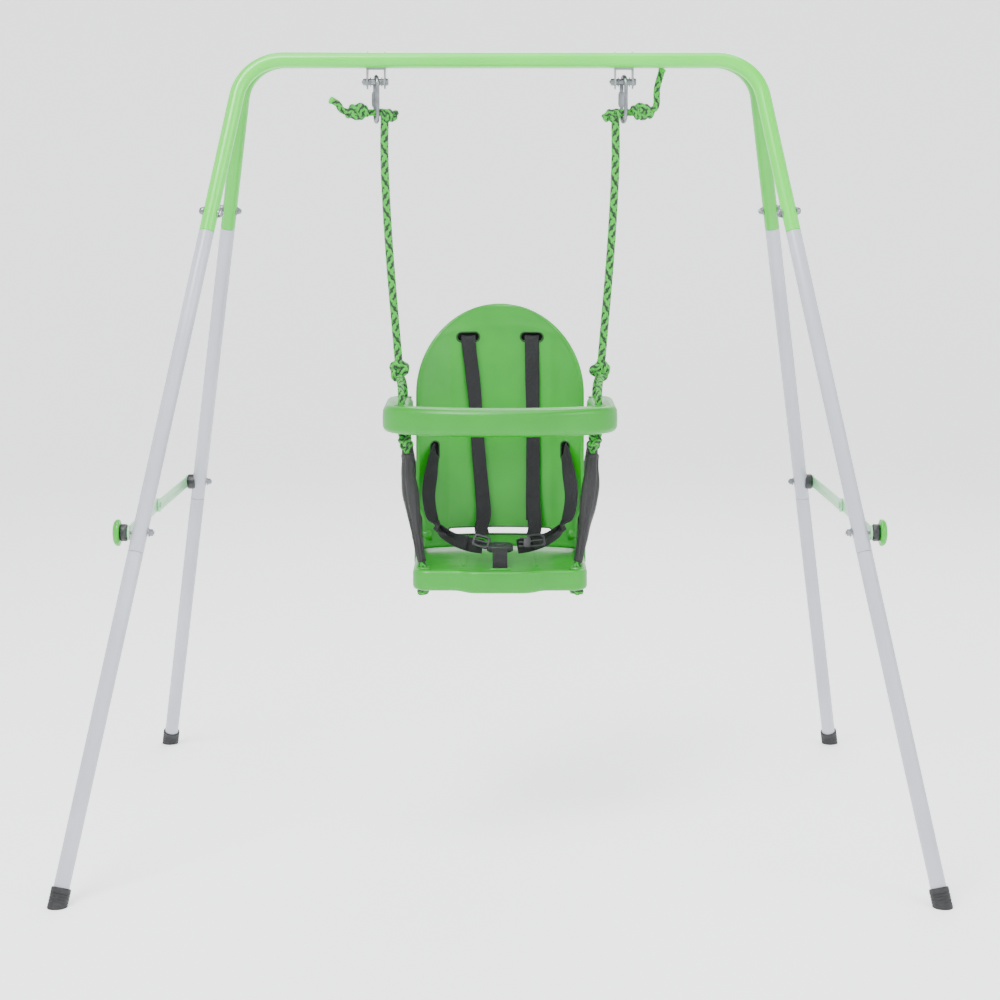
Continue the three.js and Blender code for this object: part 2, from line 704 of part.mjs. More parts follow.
function tray() {
  const low = trayTop - trayThick;
  const hollow = moulded(trayPlan(wall), low + wall, trayTop - wall, 9, 8, 1);
  const blowHole = upright(0, trayFront + trayBar / 2, low - 5, low + 10, 4, 10);
  let shape = cut(solidOf(moulded(trayPlan(0), low, trayTop, 12, 9, 1)), hollow, blowHole);
  const holes = [];
  for (const side of [-1, 1]) {
    for (const front of [-1, 1]) {
      const [x, y] = [side * trayHoleHalf, front * trayHoleDepth];
      shape = shape.add(solidOf(upright(x, y, low + 1, trayTop - 1, strandRadius + 4, 12)));
      holes.push(upright(x, y, low - 5, trayTop + 5, strandRadius + ropePlay, 12));
    }
  }
  return cut(shape, ...holes);
}

// The backrest is bent round an upright axis in front of it, cut to an arch, and leant back.
const backBottom = baseTop + 1.5;
const backRise = backTop - backBottom;
const backAt = (z) => backFoot + (z - backBottom) * backLean; // its front face in the middle
const backSag = (x) => backCurve - Math.sqrt(backCurve * backCurve - x * x);

function archPlan() {
  const crown = backHalf * 1.05;
  const plan = new THREE.Shape();
  const foot = earOuter - earThick - 5; // it is narrower where it stands between the ears
  plan.moveTo(-foot, 0);
  plan.lineTo(foot, 0);
  plan.lineTo(foot, earHeight + 4);
  plan.lineTo(backHalf, earHeight + 34);
  plan.lineTo(backHalf, backRise - crown);
  plan.absellipse(0, backRise - crown, backHalf, crown, 0, Math.PI);
  plan.lineTo(-backHalf, earHeight + 34);
  plan.lineTo(-foot, earHeight + 4);
  return plan;
}

function backShell() {
  const reach = Math.asin((backHalf + 4) / backCurve);
  const section = new THREE.Shape();
  section.absarc(0, 0, backCurve + backThick, Math.PI / 2 - reach, Math.PI / 2 + reach, false);
  section.absarc(0, 0, backCurve, Math.PI / 2 + reach, Math.PI / 2 - reach, true);
  const height = { depth: backRise + 40, bevelEnabled: false, curveSegments: 10 };
  const shell = new THREE.ExtrudeGeometry(section, height);
  shell.translate(0, backFoot - backCurve, -20);
  const arch = new THREE.ExtrudeGeometry(archPlan(), { depth: 300, bevelEnabled: false, curveSegments: 14 });
  arch.rotateX(Math.PI / 2).translate(0, 250, 0);
  const slots = [[0, footSlot.height, 2 * footSlot.half, footSlot.tall]];
  for (const side of [-1, 1]) {
    slots.push([side * shoulderSlot.half, shoulderSlot.height, shoulderSlot.width, shoulderSlot.tall]);
    slots.push([side * lapSlot.half, lapSlot.height, lapSlot.width, lapSlot.tall]);
  }
  const cutters = slots.map(([x, z, wide, tall]) => slotCutter(wide, tall).translate(x, 60, z - backBottom));
  const shape = cut(solidOf(shell).intersect(solidOf(arch)), ...cutters);
  const lean = new THREE.Matrix4().makeShear(0, 0, 0, 0, 0, backLean);
  return geometryOf(shape).applyMatrix4(lean).translate(0, 0, backBottom);
}

function backrest() {
  const [lugInner, lugOuter] = [112, earOuter - earThick - gap];
  const lug = (side) => xRod(side * lugInner, side * lugOuter, pinY, pinHeight, lugRadius, 14);
  const hole = (side) => xRod(side * (lugInner - 5), side * (lugOuter + 5), pinY, pinHeight, pinRadius + gap, 12);
  return cut(join(backShell(), lug(-1), lug(1)), hole(-1), hole(1));
}

// A slot with round ends that passes through along Y.
function slotCutter(width, tall) {
  const across = width > tall;
  const r = Math.min(width, tall) / 2;
  const run = Math.abs(width - tall) / 2;
  const shape = new THREE.Shape();
  const start = across ? -Math.PI / 2 : 0;
  shape.absarc(across ? run : 0, across ? 0 : run, r, start, start + Math.PI);
  shape.absarc(across ? -run : 0, across ? 0 : -run, r, start + Math.PI, start + 2 * Math.PI);
  return new THREE.ExtrudeGeometry(shape, { depth: 200, bevelEnabled: false, curveSegments: 4 })
    .rotateX(Math.PI / 2)
    .translate(0, 130, 0);
}

// ---- harness ----
const webSection = (width, thick) => [
  new THREE.Vector2(-width / 2, -thick / 2),
  new THREE.Vector2(width / 2, -thick / 2),
  new THREE.Vector2(width / 2, thick / 2),
  new THREE.Vector2(-width / 2, thick / 2),
];

// A strap through the given points, whose width follows the given directions at its two ends.
function strap(points, firstAcross, lastAcross, width, steps) {
  const run = smooth(points, steps);
  const across = run.map((_, i) => firstAcross.clone().lerp(lastAcross, i / steps));
  return sweep(run, webSection(width, webThick), null, across);
}

const shoulderRoutes = { left: [56, 55, 45, 38, 30], right: [56, 56, 57, 58, 58] };

function shoulderStrap(sideWord, side) {
  const [a, b, c, d, e] = shoulderRoutes[sideWord].map((x) => side * x);
  const s = shoulderSlot.height;
  const clear = 5;
  const at = (x, z, off) => v3(x, backAt(z) - backSag(x) - off, z);
  const points = [at(a, s + 1, -backThick - 3), at(a, s + 1, 2), at(b, s - 12, clear), at(c, 740, clear + 3),
    at(d, 640, clear + 5), at(e, 520, clear + 8)];
  return strap(points, v3(1, 0, 0), v3(1, 0, 0), webWidth, 20);
}

function lapBelt(side) {
  const l = lapSlot;
  const x = side * l.half;
  const at = (px, z, off) => v3(px, backAt(z) - backSag(px) - off, z);
  const points = [
    at(x, l.height, -backThick - 2),
    at(x, l.height, 3),
    at(side * 119, 612, 16),
    v3(side * 124, 38, 565),
    v3(side * 113, 20, 522),
    v3(side * 84, -6, 501),
    v3(side * 50, -34, 494),
  ];
  return strap(points, v3(side * 0.15, 0.1, 1), v3(side * 0.1, 0.35, 1), webWidth, 16);
}

function crotchStrap() {
  const y = crotchSlotDepth;
  const points = [v3(0, y, baseTop - baseThick + 4), v3(0, y, baseTop + 3), v3(0, y + 12, baseTop + 15),
    v3(0, y + 28, baseTop + 21), v3(0, y + 40, baseTop + 24)];
  return strap(points, v3(1, 0, 0), v3(1, 0, 0), webWidth, 12);
}

function buckle() {
  const y = crotchSlotDepth + 60;
  const body = new THREE.Shape();
  body.absellipse(0, 0, 22, 18, 0, 2 * Math.PI);
  return new THREE.ExtrudeGeometry(body, {
    depth: 6,
    bevelSize: 2.5,
    bevelOffset: -2.5,
    bevelThickness: 2.5,
    bevelSegments: 2,
    curveSegments: 8,
  }).translate(0, y, baseTop + 20);
}

function buildSeat() {
  const seat = new THREE.Group();
  seat.position.y = seatShift;
  part.add(seat);
  add(seat, "seat_base", seatBase(), "greenPlastic");
  add(seat, "tray", tray(), "greenPlastic");
  add(seat, "backrest", backrest(), "greenPlastic");
  for (const [sideWord, side] of Object.entries(sides)) {
    const inner = side * (earOuter - earThick - 20);
    const outer = side * (earOuter + gap);
    const pin = join(
      xRod(inner, outer + side, pinY, pinHeight, pinRadius, 12),
      xRod(outer, outer + side * 5, pinY, pinHeight, 8.5, 16),
    );
    add(seat, "backrest_pin_" + sideWord, pin, "zinc");
    add(seat, "shoulder_strap_" + sideWord, shoulderStrap(sideWord, side), "webbing");
    add(seat, "lap_belt_" + sideWord, lapBelt(side), "webbing");
  }
  add(seat, "crotch_strap", crotchStrap(), "webbing");
  add(seat, "buckle", buckle(), "rubber");
}

for (const [word, frame] of Object.entries(frames)) buildFrame(word, frame);
for (const [sideWord, side] of Object.entries(sides)) {
  buildBrace(sideWord, side);
  buildHanger(sideWord, side);
  buildRope(sideWord, side);
}
buildSeat();

export default part;
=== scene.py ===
import random
from math import acos, copysign, cos, exp, hypot, pi, radians, sin, sqrt, tan, tau
import bpy
import bmesh
from mathutils import Matrix, Vector


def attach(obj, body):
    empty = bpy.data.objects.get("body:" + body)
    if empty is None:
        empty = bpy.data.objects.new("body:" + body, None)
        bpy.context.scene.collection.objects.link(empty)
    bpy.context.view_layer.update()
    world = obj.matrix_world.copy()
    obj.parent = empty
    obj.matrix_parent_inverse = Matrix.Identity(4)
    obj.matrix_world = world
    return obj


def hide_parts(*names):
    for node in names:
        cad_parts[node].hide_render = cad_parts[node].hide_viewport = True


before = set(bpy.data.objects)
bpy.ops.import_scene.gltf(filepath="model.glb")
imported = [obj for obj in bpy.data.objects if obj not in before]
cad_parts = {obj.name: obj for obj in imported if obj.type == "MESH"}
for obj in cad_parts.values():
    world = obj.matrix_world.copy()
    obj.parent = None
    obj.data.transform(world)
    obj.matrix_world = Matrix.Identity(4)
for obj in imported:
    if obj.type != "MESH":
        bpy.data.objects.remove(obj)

random.seed(11)
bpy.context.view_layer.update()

# the camera is level with the top bar's lower side and looks a little down
viewer = {"place": (0.0, -3.8972, 1.1364), "tilt": 81.63, "lens": 81.8}
cameraData = bpy.data.cameras.new("camera")
cameraData.lens = viewer["lens"]
cameraData.sensor_width = 36
camera = bpy.data.objects.new("camera", cameraData)
camera.location = viewer["place"]
camera.rotation_euler = (radians(viewer["tilt"]), 0, 0)
bpy.context.scene.collection.objects.link(camera)
bpy.context.scene.camera = camera

mm = 0.001
leftRight = {"left": -1, "right": 1}


def at(x, y, z):
    return Vector((x, y, z)) * mm


# materials: all of noise and waves
def linear(colour):
    return [(c / 255 / 12.92) if c <= 10 else ((c / 255 + 0.055) / 1.055) ** 2.4 for c in colour] + [1]


# a material with noise, waves and bumps added one at a time
class Shader:
    def __init__(self, name, colour, rough, metal=0.0):
        self.material = bpy.data.materials.new(name)
        self.material.use_nodes = True
        self.tree = self.material.node_tree
        self.bsdf = self.tree.nodes["Principled BSDF"]
        self.colour = linear(colour)
        self.height = None
        self.set(Base_Color=self.colour, Roughness=rough, Metallic=metal)

    def node(self, kind, **values):
        made = self.tree.nodes.new(kind)
        for key, value in values.items():
            socket = key.replace("_", " ")
            if socket in made.inputs:
                made.inputs[socket].default_value = value
            else:
                setattr(made, key, value)
        return made

    def link(self, a, b):
        self.tree.links.new(a, b)

    def place(self, where, scale=(1, 1, 1)):
        coords = self.node("ShaderNodeTexCoord")
        mapping = self.node("ShaderNodeMapping", Scale=scale)
        self.link(coords.outputs[where], mapping.inputs["Vector"])
        return mapping.outputs["Vector"]

    def noise(self, scale, detail, stretch=(1, 1, 1)):
        made = self.node("ShaderNodeTexNoise", Scale=scale, Detail=detail)
        self.link(self.place("Object", stretch), made.inputs["Vector"])
        return made.outputs["Fac"]

    def wave(self, scale, turn, distort):
        made = self.node("ShaderNodeTexWave", Scale=scale, Distortion=distort, bands_direction=turn)
        self.link(self.place("UV"), made.inputs["Vector"])
        return made.outputs["Fac"]

    def combine(self, a, b, kind):
        made = self.node("ShaderNodeMath", operation=kind)
        self.link(a, made.inputs[0])
        self.link(b, made.inputs[1])
        return made.outputs[0]

    def blendColour(self, factor, other, low=0.35, high=0.65):
        ramp = self.node("ShaderNodeValToRGB")
        ramp.color_ramp.elements[0].position = low
        ramp.color_ramp.elements[0].color = self.colour
        ramp.color_ramp.elements[1].position = high
        ramp.color_ramp.elements[1].color = linear(other)
        self.link(factor, ramp.inputs["Fac"])
        self.link(ramp.outputs["Color"], self.bsdf.inputs["Base Color"])
        return self

    def roughen(self, factor, low, high):
        span = self.node("ShaderNodeMapRange", To_Min=low, To_Max=high)
        self.link(factor, span.inputs["Value"])
        self.link(span.outputs["Result"], self.bsdf.inputs["Roughness"])
        return self

    def bump(self, factor, depth, strength=1.0):
        made = self.node("ShaderNodeBump", Strength=strength, Distance=depth)
        self.link(factor, made.inputs["Height"])
        if self.height:
            self.link(self.height, made.inputs["Normal"])
        self.height = made.outputs["Normal"]
        self.link(self.height, self.bsdf.inputs["Normal"])
        return self

    def set(self, **values):
        for key, value in values.items():
            self.bsdf.inputs[key.replace("_", " ")].default_value = value
        return self


def paint(name, colour, other, rough):
    s = Shader(name, colour, rough).set(Coat_Weight=0.35, Coat_Roughness=0.18)
    s.blendColour(s.noise(6, 2), other)
    s.roughen(s.noise(40, 4), rough - 0.05, rough + 0.12)
    s.bump(s.noise(420, 2), 0.00012, 0.5)
    return s.material


def moulded(name, colour, other, rough, grain, through=0.0):
    s = Shader(name, colour, rough)
    s.blendColour(s.noise(9, 3), other)
    s.roughen(s.noise(70, 4), rough - 0.06, rough + 0.1)
    s.bump(s.noise(grain, 3), 0.00016, 0.6)
    s.bump(s.noise(14, 2), 0.0006, 0.2)
    if through:
        s.set(Subsurface_Weight=through, Subsurface_Scale=0.01)
    return s.material


def plated(name, colour, other, rough):
    s = Shader(name, colour, rough, 0.95)
    s.blendColour(s.noise(60, 5), other)
    s.roughen(s.noise(160, 5, stretch=(1, 1, 9)), rough - 0.1, rough + 0.2)
    s.bump(s.noise(700, 3), 0.00006, 0.5)
    return s.material


def yarn(name, colour, other):
    s = Shader(name, colour, 0.72).set(Sheen_Weight=0.2, Sheen_Roughness=0.45)
    fibres = s.wave(5, "X", distort=1.5)
    s.blendColour(fibres, other, 0.1, 0.9)
    s.bump(fibres, 0.0004, 0.8)
    s.bump(s.noise(2500, 3), 0.0002, 0.5)
    return s.material


# cloth: rows both ways and a twill, laid in the cloth's own coordinates
def woven(name, colour, other, rows, sheen, rough=0.8):
    s = Shader(name, colour, rough).set(Sheen_Weight=sheen, Sheen_Roughness=0.4)
    across = s.wave(rows, "X", distort=0.3)
    along = s.wave(rows, "Y", distort=0.3)
    twill = s.wave(rows * 0.45, "DIAGONAL", distort=0.2)
    cloth = s.combine(s.combine(across, along, "MULTIPLY"), twill, "ADD")
    s.blendColour(cloth, other, 0.1, 1.3)
    s.bump(cloth, 0.00035, 0.7)
    s.bump(s.noise(1800, 3), 0.00012, 0.5)
    return s.material


finish = {
    "greenPaint": paint("green_paint", (62, 208, 42), (56, 200, 36), 0.3),
    # the rear frame's green is a darker copy of the front green: painted shade for the frame that stands
    # behind the front one
    "rearGreenShaded": paint("rear_green_paint_shaded", (46, 180, 32), (42, 172, 28), 0.32),
    "greyPaint": paint("grey_paint", (172, 174, 184), (164, 166, 177), 0.34),
    "mintPaint": paint("mint_paint", (134, 200, 146), (124, 190, 136), 0.38),
    "bracketPaint": paint("bracket_paint", (128, 136, 136), (114, 122, 122), 0.4),
    "rubber": moulded("rubber", (24, 25, 27), (34, 35, 38), 0.62, 1300),
    "blackPlastic": moulded("black_plastic", (24, 25, 28), (32, 33, 37), 0.4, 1500),
    "knobGreen": moulded("knob_green", (30, 166, 22), (25, 156, 18), 0.28, 800),
    "seatGreen": moulded("seat_green", (18, 142, 14), (14, 131, 11), 0.34, 760, 0.03),
    # a near-black copy of the seat green: painted shade for the walls and rims of the backrest's slots
    "seatSlotShade": moulded("seat_slot_painted_shade", (5, 66, 6), (4, 58, 5), 0.42, 760),
    "zinc": plated("zinc", (138, 141, 146), (112, 115, 120), 0.28),
    "ropeLight": yarn("rope_light", (42, 206, 38), (22, 166, 22)),
    # dark rope green: the rope's dark yarn, and painted shade in the gaps between the yarns
    "ropeDarkYarnAndGapShade": yarn("rope_dark_yarn_and_gap_shade", (3, 62, 10), (2, 44, 6)),
    "webbing": woven("webbing", (5, 5, 8), (12, 13, 18), 260, 0.04),
    "sleeveCloth": woven("sleeve_cloth", (4, 4, 6), (9, 10, 13), 420, 0.03, 0.44),
}


# vertices and faces that are gathered before they become one piece
class Shape:
    def __init__(self):
        self.verts, self.faces, self.uvs, self.picks = [], [], [], []

    def rings(self, rings, pick=0, closeStart=True, closeEnd=True, uvRings=None, loop=False):
        base, n = len(self.verts), len(rings[0])
        for k, ring in enumerate(rings):
            self.verts += ring
            self.uvs += uvRings[k] if uvRings else [(j / n, k * 0.01) for j in range(n)]
        count = len(rings)
        for k in range(count if loop else count - 1):
            a, b = base + k * n, base + ((k + 1) % count) * n
            for j in range(n):
                i = (j + 1) % n
                self.faces.append((a + j, a + i, b + i, b + j))
                self.picks.append(pick)
        if closeStart and not loop:
            self.faces.append(tuple(base + j for j in reversed(range(n))))
            self.picks.append(pick)
        if closeEnd and not loop:
            self.faces.append(tuple(base + (count - 1) * n + j for j in range(n)))
            self.picks.append(pick)
        return self

    # node is the CAD node that the piece stands for, if there is one
    def piece(self, name, materials, body, slotName, node=None, crease=None, smooth=True, outward=True):
        mesh = bpy.data.meshes.new(name)
        mesh.from_pydata([tuple(v) for v in self.verts], [], self.faces)
        for m in materials:
            mesh.materials.append(finish[m])
        layer = mesh.uv_layers.new(name="cloth")
        for k, v in enumerate(v for f in self.faces for v in f):
            layer.data[k].uv = self.uvs[v]
        mesh.polygons.foreach_set("material_index", self.picks)
        mesh.validate()
        mesh.update()
        mesh.polygons.foreach_set("use_smooth", [smooth] * len(mesh.polygons))
        obj = bpy.data.objects.new(name, mesh)
        bpy.context.scene.collection.objects.link(obj)
        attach(obj, body)
        if outward:
            work = bmesh.new()
            work.from_mesh(mesh)
            bmesh.ops.recalc_face_normals(work, faces=work.faces)
            if crease is not None:
                limit = radians(crease)
                for edge in work.edges:
                    if len(edge.link_faces) == 2 and edge.calc_face_angle(0) > limit:
                        edge.smooth = False
            work.to_mesh(mesh)
            work.free()
        if node:
            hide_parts(node)
        return obj


# frames carried along a run without twist, each (point, side, up, along)
def steady(points):
    count = len(points)
    along = [(points[min(k + 1, count - 1)] - points[max(k - 1, 0)]).normalized() for k in range(count)]
    side = along[0].orthogonal().normalized()
    made = []
    for p, t in zip(points, along):
        side = (side - t * side.dot(t)).normalized()
        made.append((p, side, t.cross(side), t))
    return made


# a smooth run through the points, in even steps
def run(points, steps):
    ends = [points[0] * 2 - points[1]] + list(points) + [points[-1] * 2 - points[-2]]
    dense = []
    for k in range(1, len(ends) - 2):
        p0, p1, p2, p3 = ends[k - 1 : k + 3]
        t1 = max((p1 - p0).length ** 0.5, 1e-6)
        t2 = t1 + max((p2 - p1).length ** 0.5, 1e-6)
        t3 = t2 + max((p3 - p2).length ** 0.5, 1e-6)
        for j in range(16):
            t = t1 + (t2 - t1) * j / 16
            a1 = p0 * ((t1 - t) / t1) + p1 * (t / t1)
            a2 = p1 * ((t2 - t) / (t2 - t1)) + p2 * ((t - t1) / (t2 - t1))
            a3 = p2 * ((t3 - t) / (t3 - t2)) + p3 * ((t - t2) / (t3 - t2))
            b1 = a1 * ((t2 - t) / t2) + a2 * (t / t2)
            b2 = a2 * ((t3 - t) / (t3 - t1)) + a3 * ((t - t1) / (t3 - t1))
            dense.append(b1 * ((t2 - t) / (t2 - t1)) + b2 * ((t - t1) / (t2 - t1)))
    dense.append(ends[-2])
    return evenly(dense, steps)


def evenly(dense, steps):
    reach = [0.0]
    for a, b in zip(dense, dense[1:]):
        reach.append(reach[-1] + (b - a).length)
    made, k = [], 0
    for j in range(steps + 1):
        want = reach[-1] * j / steps
        while k < len(reach) - 2 and reach[k + 1] < want:
            k += 1
        span = reach[k + 1] - reach[k] or 1
        made.append(dense[k].lerp(dense[k + 1], (want - reach[k]) / span))
    return made


def runLength(points):
    return sum((b - a).length for a, b in zip(points, points[1:]))


# a round tube along the points; radius is a number in metres or radius(k, angle, share)
def tube(shape, points, radius, sides=24, pick=0):
    count = len(points)
    rings, uvRings, gone = [], [], 0.0
    for k, (p, side, up, along) in enumerate(steady(points)):
        if k:
            gone += (points[k] - points[k - 1]).length
        ring, uvRing = [], []
        for j in range(sides):
            a = tau * j / sides
            r = radius(k, a, k / (count - 1)) if callable(radius) else radius
            ring.append(p + (side * cos(a) + up * sin(a)) * r)
            uvRing.append((a * (r or 0.01), gone))
        rings.append(ring)
        uvRings.append(uvRing)
    return shape.rings(rings, pick, uvRings=uvRings)


# a profile of (radius, height) in mm, turned about the Z of the matrix called place
def turned(shape, profile, place, sides=32, pick=0, wave=None):
    rings = []
    for r, z in profile:
        ring = []
        for j in range(sides):
            a = tau * j / sides
            rr = max(r, 0.02) + (wave(a, r, z) if wave else 0)
            ring.append(place @ at(rr * cos(a), rr * sin(a), z))
        rings.append(ring)
    return shape.rings(rings, pick)


# a matrix at origin whose Z is z and whose X is close to x
def facing(origin, z, x=None):
    z = Vector(z).normalized()
    x = Vector(x) if x is not None else z.orthogonal()
    x = (x - z * x.dot(z)).normalized()
    turn = Matrix((x, z.cross(x), z)).transposed().to_4x4()
    turn.translation = origin
    return turn


# (inset, height) pairs for a rounded edge, from low up to high
def rounded(low, high, bevel, steps=4):
    quarter = [(bevel * (1 - sin(a)), bevel * (1 - cos(a)))
        for a in [pi / 2 * k / steps for k in range(steps + 1)]]
    return [(i, low + h) for i, h in quarter] + [(i, high - h) for i, h in reversed(quarter)]


# plan(inset) gives a closed outline in mm; profile is (inset, height) pairs
def stacked(shape, plan, profile, place):
    rings = [[place @ at(x, y, z) for x, y in plan(inset)] for inset, z in profile]
    return shape.rings(rings)


# a rounded box or ellipse outline in the plane, drawn in by inset
def oval(halfX, halfY, power, count):
    def plan(inset):
        made = []
        for k in range(count):
            a = tau * k / count
            c, s = cos(a), sin(a)
            made.append((copysign(abs(c) ** (2 / power), c) * (halfX - inset),
                copysign(abs(s) ** (2 / power), s) * (halfY - inset)))
        return made
    return plan


def arc(cx, cy, r, start, end, steps):
    return [(cx + r * cos(start + (end - start) * k / steps),
        cy + r * sin(start + (end - start) * k / steps)) for k in range(steps + 1)]


print("helpers ready")

# the two A-frames; these sizes and all below are in mm
tubing = {"height": 1312, "outer": 12.7, "apart": 14.5, "corner": 429, "depth": 506, "bend": 78,
    "stubEnd": 1029, "bolt": 1060, "joint": 524, "pivot": 554}
barZ, tubeR = tubing["height"], tubing["outer"]
# the rear frame takes the darker copy of the green, painted shade for the frame behind
frames = {"front": {"sign": -1, "foot": 686, "body": "front_frame", "green": "greenPaint"},
          "rear": {"sign": 1, "foot": 656, "body": "rear_frame", "green": "rearGreenShaded"}}


def corner(f, side):
    return at(side * tubing["corner"], f["sign"] * tubing["apart"], barZ)


def floorSpot(f, side):
    return at(side * f["foot"], f["sign"] * tubing["depth"], 0)


def onLeg(f, side, height):
    return corner(f, side).lerp(floorSpot(f, side), (barZ - height) / barZ)


def legPlace(f, side):
    down = (floorSpot(f, side) - corner(f, side)).normalized()
    return facing(corner(f, side), down, (side, 0, 0)), down


def legRun(f, height):
    return (corner(f, 1) - floorSpot(f, 1)).length / mm * (barZ - height) / barZ


# an arc of that radius in the corner c, from the run inward to the run outward (unit directions)
def bendPoints(c, inward, outward, radius, steps):
    half = acos(max(-1, min(1, inward.dot(outward)))) / 2
    reach = radius * mm * tan(half)
    start = c - inward * reach
    axis = inward.cross(outward).normalized()
    centre = start + axis.cross(inward) * radius * mm
    return [centre + Matrix.Rotation(2 * half * k / steps, 3, axis) @ (start - centre)
        for k in range(steps + 1)]


for word, f in frames.items():
    left, right = [(floorSpot(f, s) - corner(f, s)).normalized() for s in (-1, 1)]
    across = Vector((1, 0, 0))
    path = [onLeg(f, -1, tubing["stubEnd"] + 1), onLeg(f, -1, tubing["stubEnd"] + 14)]
    path += bendPoints(corner(f, -1), -left, across, tubing["bend"], 18)
    path += [at(x, f["sign"] * tubing["apart"], barZ) for x in range(-300, 301, 100)]
    path += bendPoints(corner(f, 1), across, right, tubing["bend"], 18)
    path += [onLeg(f, 1, tubing["stubEnd"] + 14), onLeg(f, 1, tubing["stubEnd"] + 1)]
    outer = tubeR * mm
    bar = tube(Shape(), path, outer, 40)
    for side in (-1, 1):
        place, down = legPlace(f, side)
        end = legRun(f, tubing["stubEnd"])
        turned(bar, [(11.3, end + 0.2), (12.3, end + 0.35), (12.68, end), (12.7, end - 1.2),
            (12.5, end - 1.6)], place, 40)
    bar.piece("top_bar_" + word, [f["green"]], f["body"], "bar_paint", "top_tube_" + word, 50)
    for hand, side in leftRight.items():
        place, down = legPlace(f, side)
        end, middle, foot = legRun(f, tubing["stubEnd"]), legRun(f, tubing["joint"]), legRun(f, 0)
        name = word + "_" + hand
        edge = [(11.2, 0.4), (11.9, 0.55), (12.55, 0.9), (12.7, 1.6)]
        leg = turned(Shape(), [(10.9, end - 30)] + [(10.9, end + 0.2)] + [(r, end + z) for r, z in edge]
            + [(12.7, middle - 1.3), (12.45, middle - 0.3), (11.2, middle - 0.2)], place, 40)
        leg.piece("upper_tube_" + name, ["greyPaint"], f["body"], "leg_paint", "upper_leg_" + name, 50)
        lower = turned(Shape(), [(10.9, middle - 30), (10.9, middle + 0.3)] + [(r, middle + z)
            for r, z in edge] + [(12.7, foot - 12)], place, 40)
        lower.piece("lower_tube_" + name, ["greyPaint"], f["body"], "leg_paint", "lower_leg_" + name, 50)
        ribs = []
        for k in range(4):
            z = foot - 24 + k * 4.6
            ribs += [(15.7, z), (15.7, z + 3.1), (15.0, z + 3.5), (15.0, z + 4.2)]
        cap = turned(Shape(), [(12.9, foot - 27), (13.3, foot - 30), (14.6, foot - 30), (15.5, foot - 29)]
            + ribs + [(15.7, foot - 5), (15.7, foot + 3), (15.3, foot + 22)], place, 48)
        cap.verts = [v - down * (v.z / down.z) if v.z < 0 else v for v in cap.verts]
        cap.piece("foot_" + name, ["rubber"], f["body"], "foot_rubber", "foot_cap_" + name, 40)
        spot = place.copy()
        spot.translation = place @ at(0, 0, legRun(f, tubing["bolt"]))
        bolt = Shape()
        for way in (1, -1):
            axis = facing(spot.translation, place.col[0].to_3d() * way, down)
            face = 12.7
            turned(bolt, [(7.4, face - 0.9), (7.4, face + 0.9), (6.9, face + 1.3)], axis, 32)
            if way > 0:
                turned(bolt, [(6.3, face + 1.2), (6.3, face + 2.4), (5.9, face + 4), (4.6, face + 5.9),
                    (2.6, face + 7), (0.5, face + 7.3)], axis, 32)
            else:
                turned(bolt, [(5.9, face + 1.2), (6.2, face + 1.6), (6.2, face + 4.4), (5.2, face + 5)],
                    axis, 6)
                turned(bolt, [(4.6, face + 4.9), (4.3, face + 6.8), (3, face + 8), (0.5, face + 8.4)],
                    axis, 24)
        bolt.piece("frame_bolt_" + name, ["zinc"], f["body"], "zinc", "leg_bolt_" + name, 35)
print("frames ready")

# braces, pivots and knobs
brace = {"high": 10, "endRadius": 12, "thick": 3.5, "groove": 5, "deep": 1.2, "apart": 0.9}


def outerFace(f):
    down = (floorSpot(f, 1) - corner(f, 1)).normalized()
    return onLeg(f, 1, tubing["pivot"]).x / mm + tubeR / sqrt(1 - down.x ** 2)


frontPlate = outerFace(frames["front"]) + 2.8
rearEnd = outerFace(frames["rear"]) + 8.6
rearMiddle = frontPlate - brace["thick"] - brace["apart"]
pivotY = onLeg(frames["front"], 1, tubing["pivot"]).y / mm


# a pressed link: round ends, rolled edges and a long groove on both faces
def link(shape, start, end, side):
    length = (end - start).length / mm
    way = (end - start).normalized()
    out = Vector((side, 0, 0))
    out = (out - way * out.dot(way)).normalized()
    place = Matrix((way, out, way.cross(out))).transposed().to_4x4()
    place.translation = start
    radius, thick = brace["endRadius"], brace["thick"]
    stations = [-radius * cos(pi / 2 * k / 9) for k in range(9)]
    stations += [2, 5, 8, 11, 14, 18, 22]
    middle = [length * k / 24 for k in range(3, 22)]
    stations += middle + [length - s for s in reversed(stations)]
    rings = []
    for s in stations:
        near = min(s, length - s)
        half = sqrt(max(radius ** 2 - near ** 2, 0.3)) if near < 6.6 else brace["high"]
        half = max(half, 0.6)
        dip = brace["deep"] * max(0, min(1, (near - 16) / 8))
        w = brace["groove"] / 2
        b = min(0.8, half * 0.4)
        outerSide = [(thick - b, -half), (thick - b * 0.3, -half + b * 0.3), (thick, -half + b),
            (thick, -w - 1.2), (thick - dip, -w + 0.6), (thick - dip, w - 0.6), (thick, w + 1.2),
            (thick, half - b), (thick - b * 0.3, half - b * 0.3), (thick - b, half)]
        innerSide = [(thick - y, -z) for y, z in outerSide]
        if half < w + 2:
            outerSide = [(y, max(-half, min(half, z))) for y, z in outerSide]
            innerSide = [(y, max(-half, min(half, z))) for y, z in innerSide]
        rings.append([place @ at(s, y, z) for y, z in outerSide + innerSide])
    shape.rings(rings)
    return place, length


def rivet(shape, origin, way, radius=5.4, high=2.6):
    turned(shape, [(radius + 0.6, -0.4), (radius + 0.6, 0.3), (radius, 0.7), (radius * 0.85, high * 0.7),
        (radius * 0.5, high * 0.95), (0.3, high)], facing(origin, way), 28)


# shank, washer, nut and thread end of a bolt through a leg
def pivotBolt(axis, inner, reach):
    made = turned(Shape(), [(3, inner - 1), (3, reach)], axis, 20)
    turned(made, [(7, inner - 0.8), (7, inner + 0.5)], axis, 28)
    turned(made, [(5, inner - 6.6), (5.6, inner - 6), (5.6, inner - 0.9)], axis, 6)
    return turned(made, [(3, inner - 8.5), (3, inner - 6)], axis, 16)


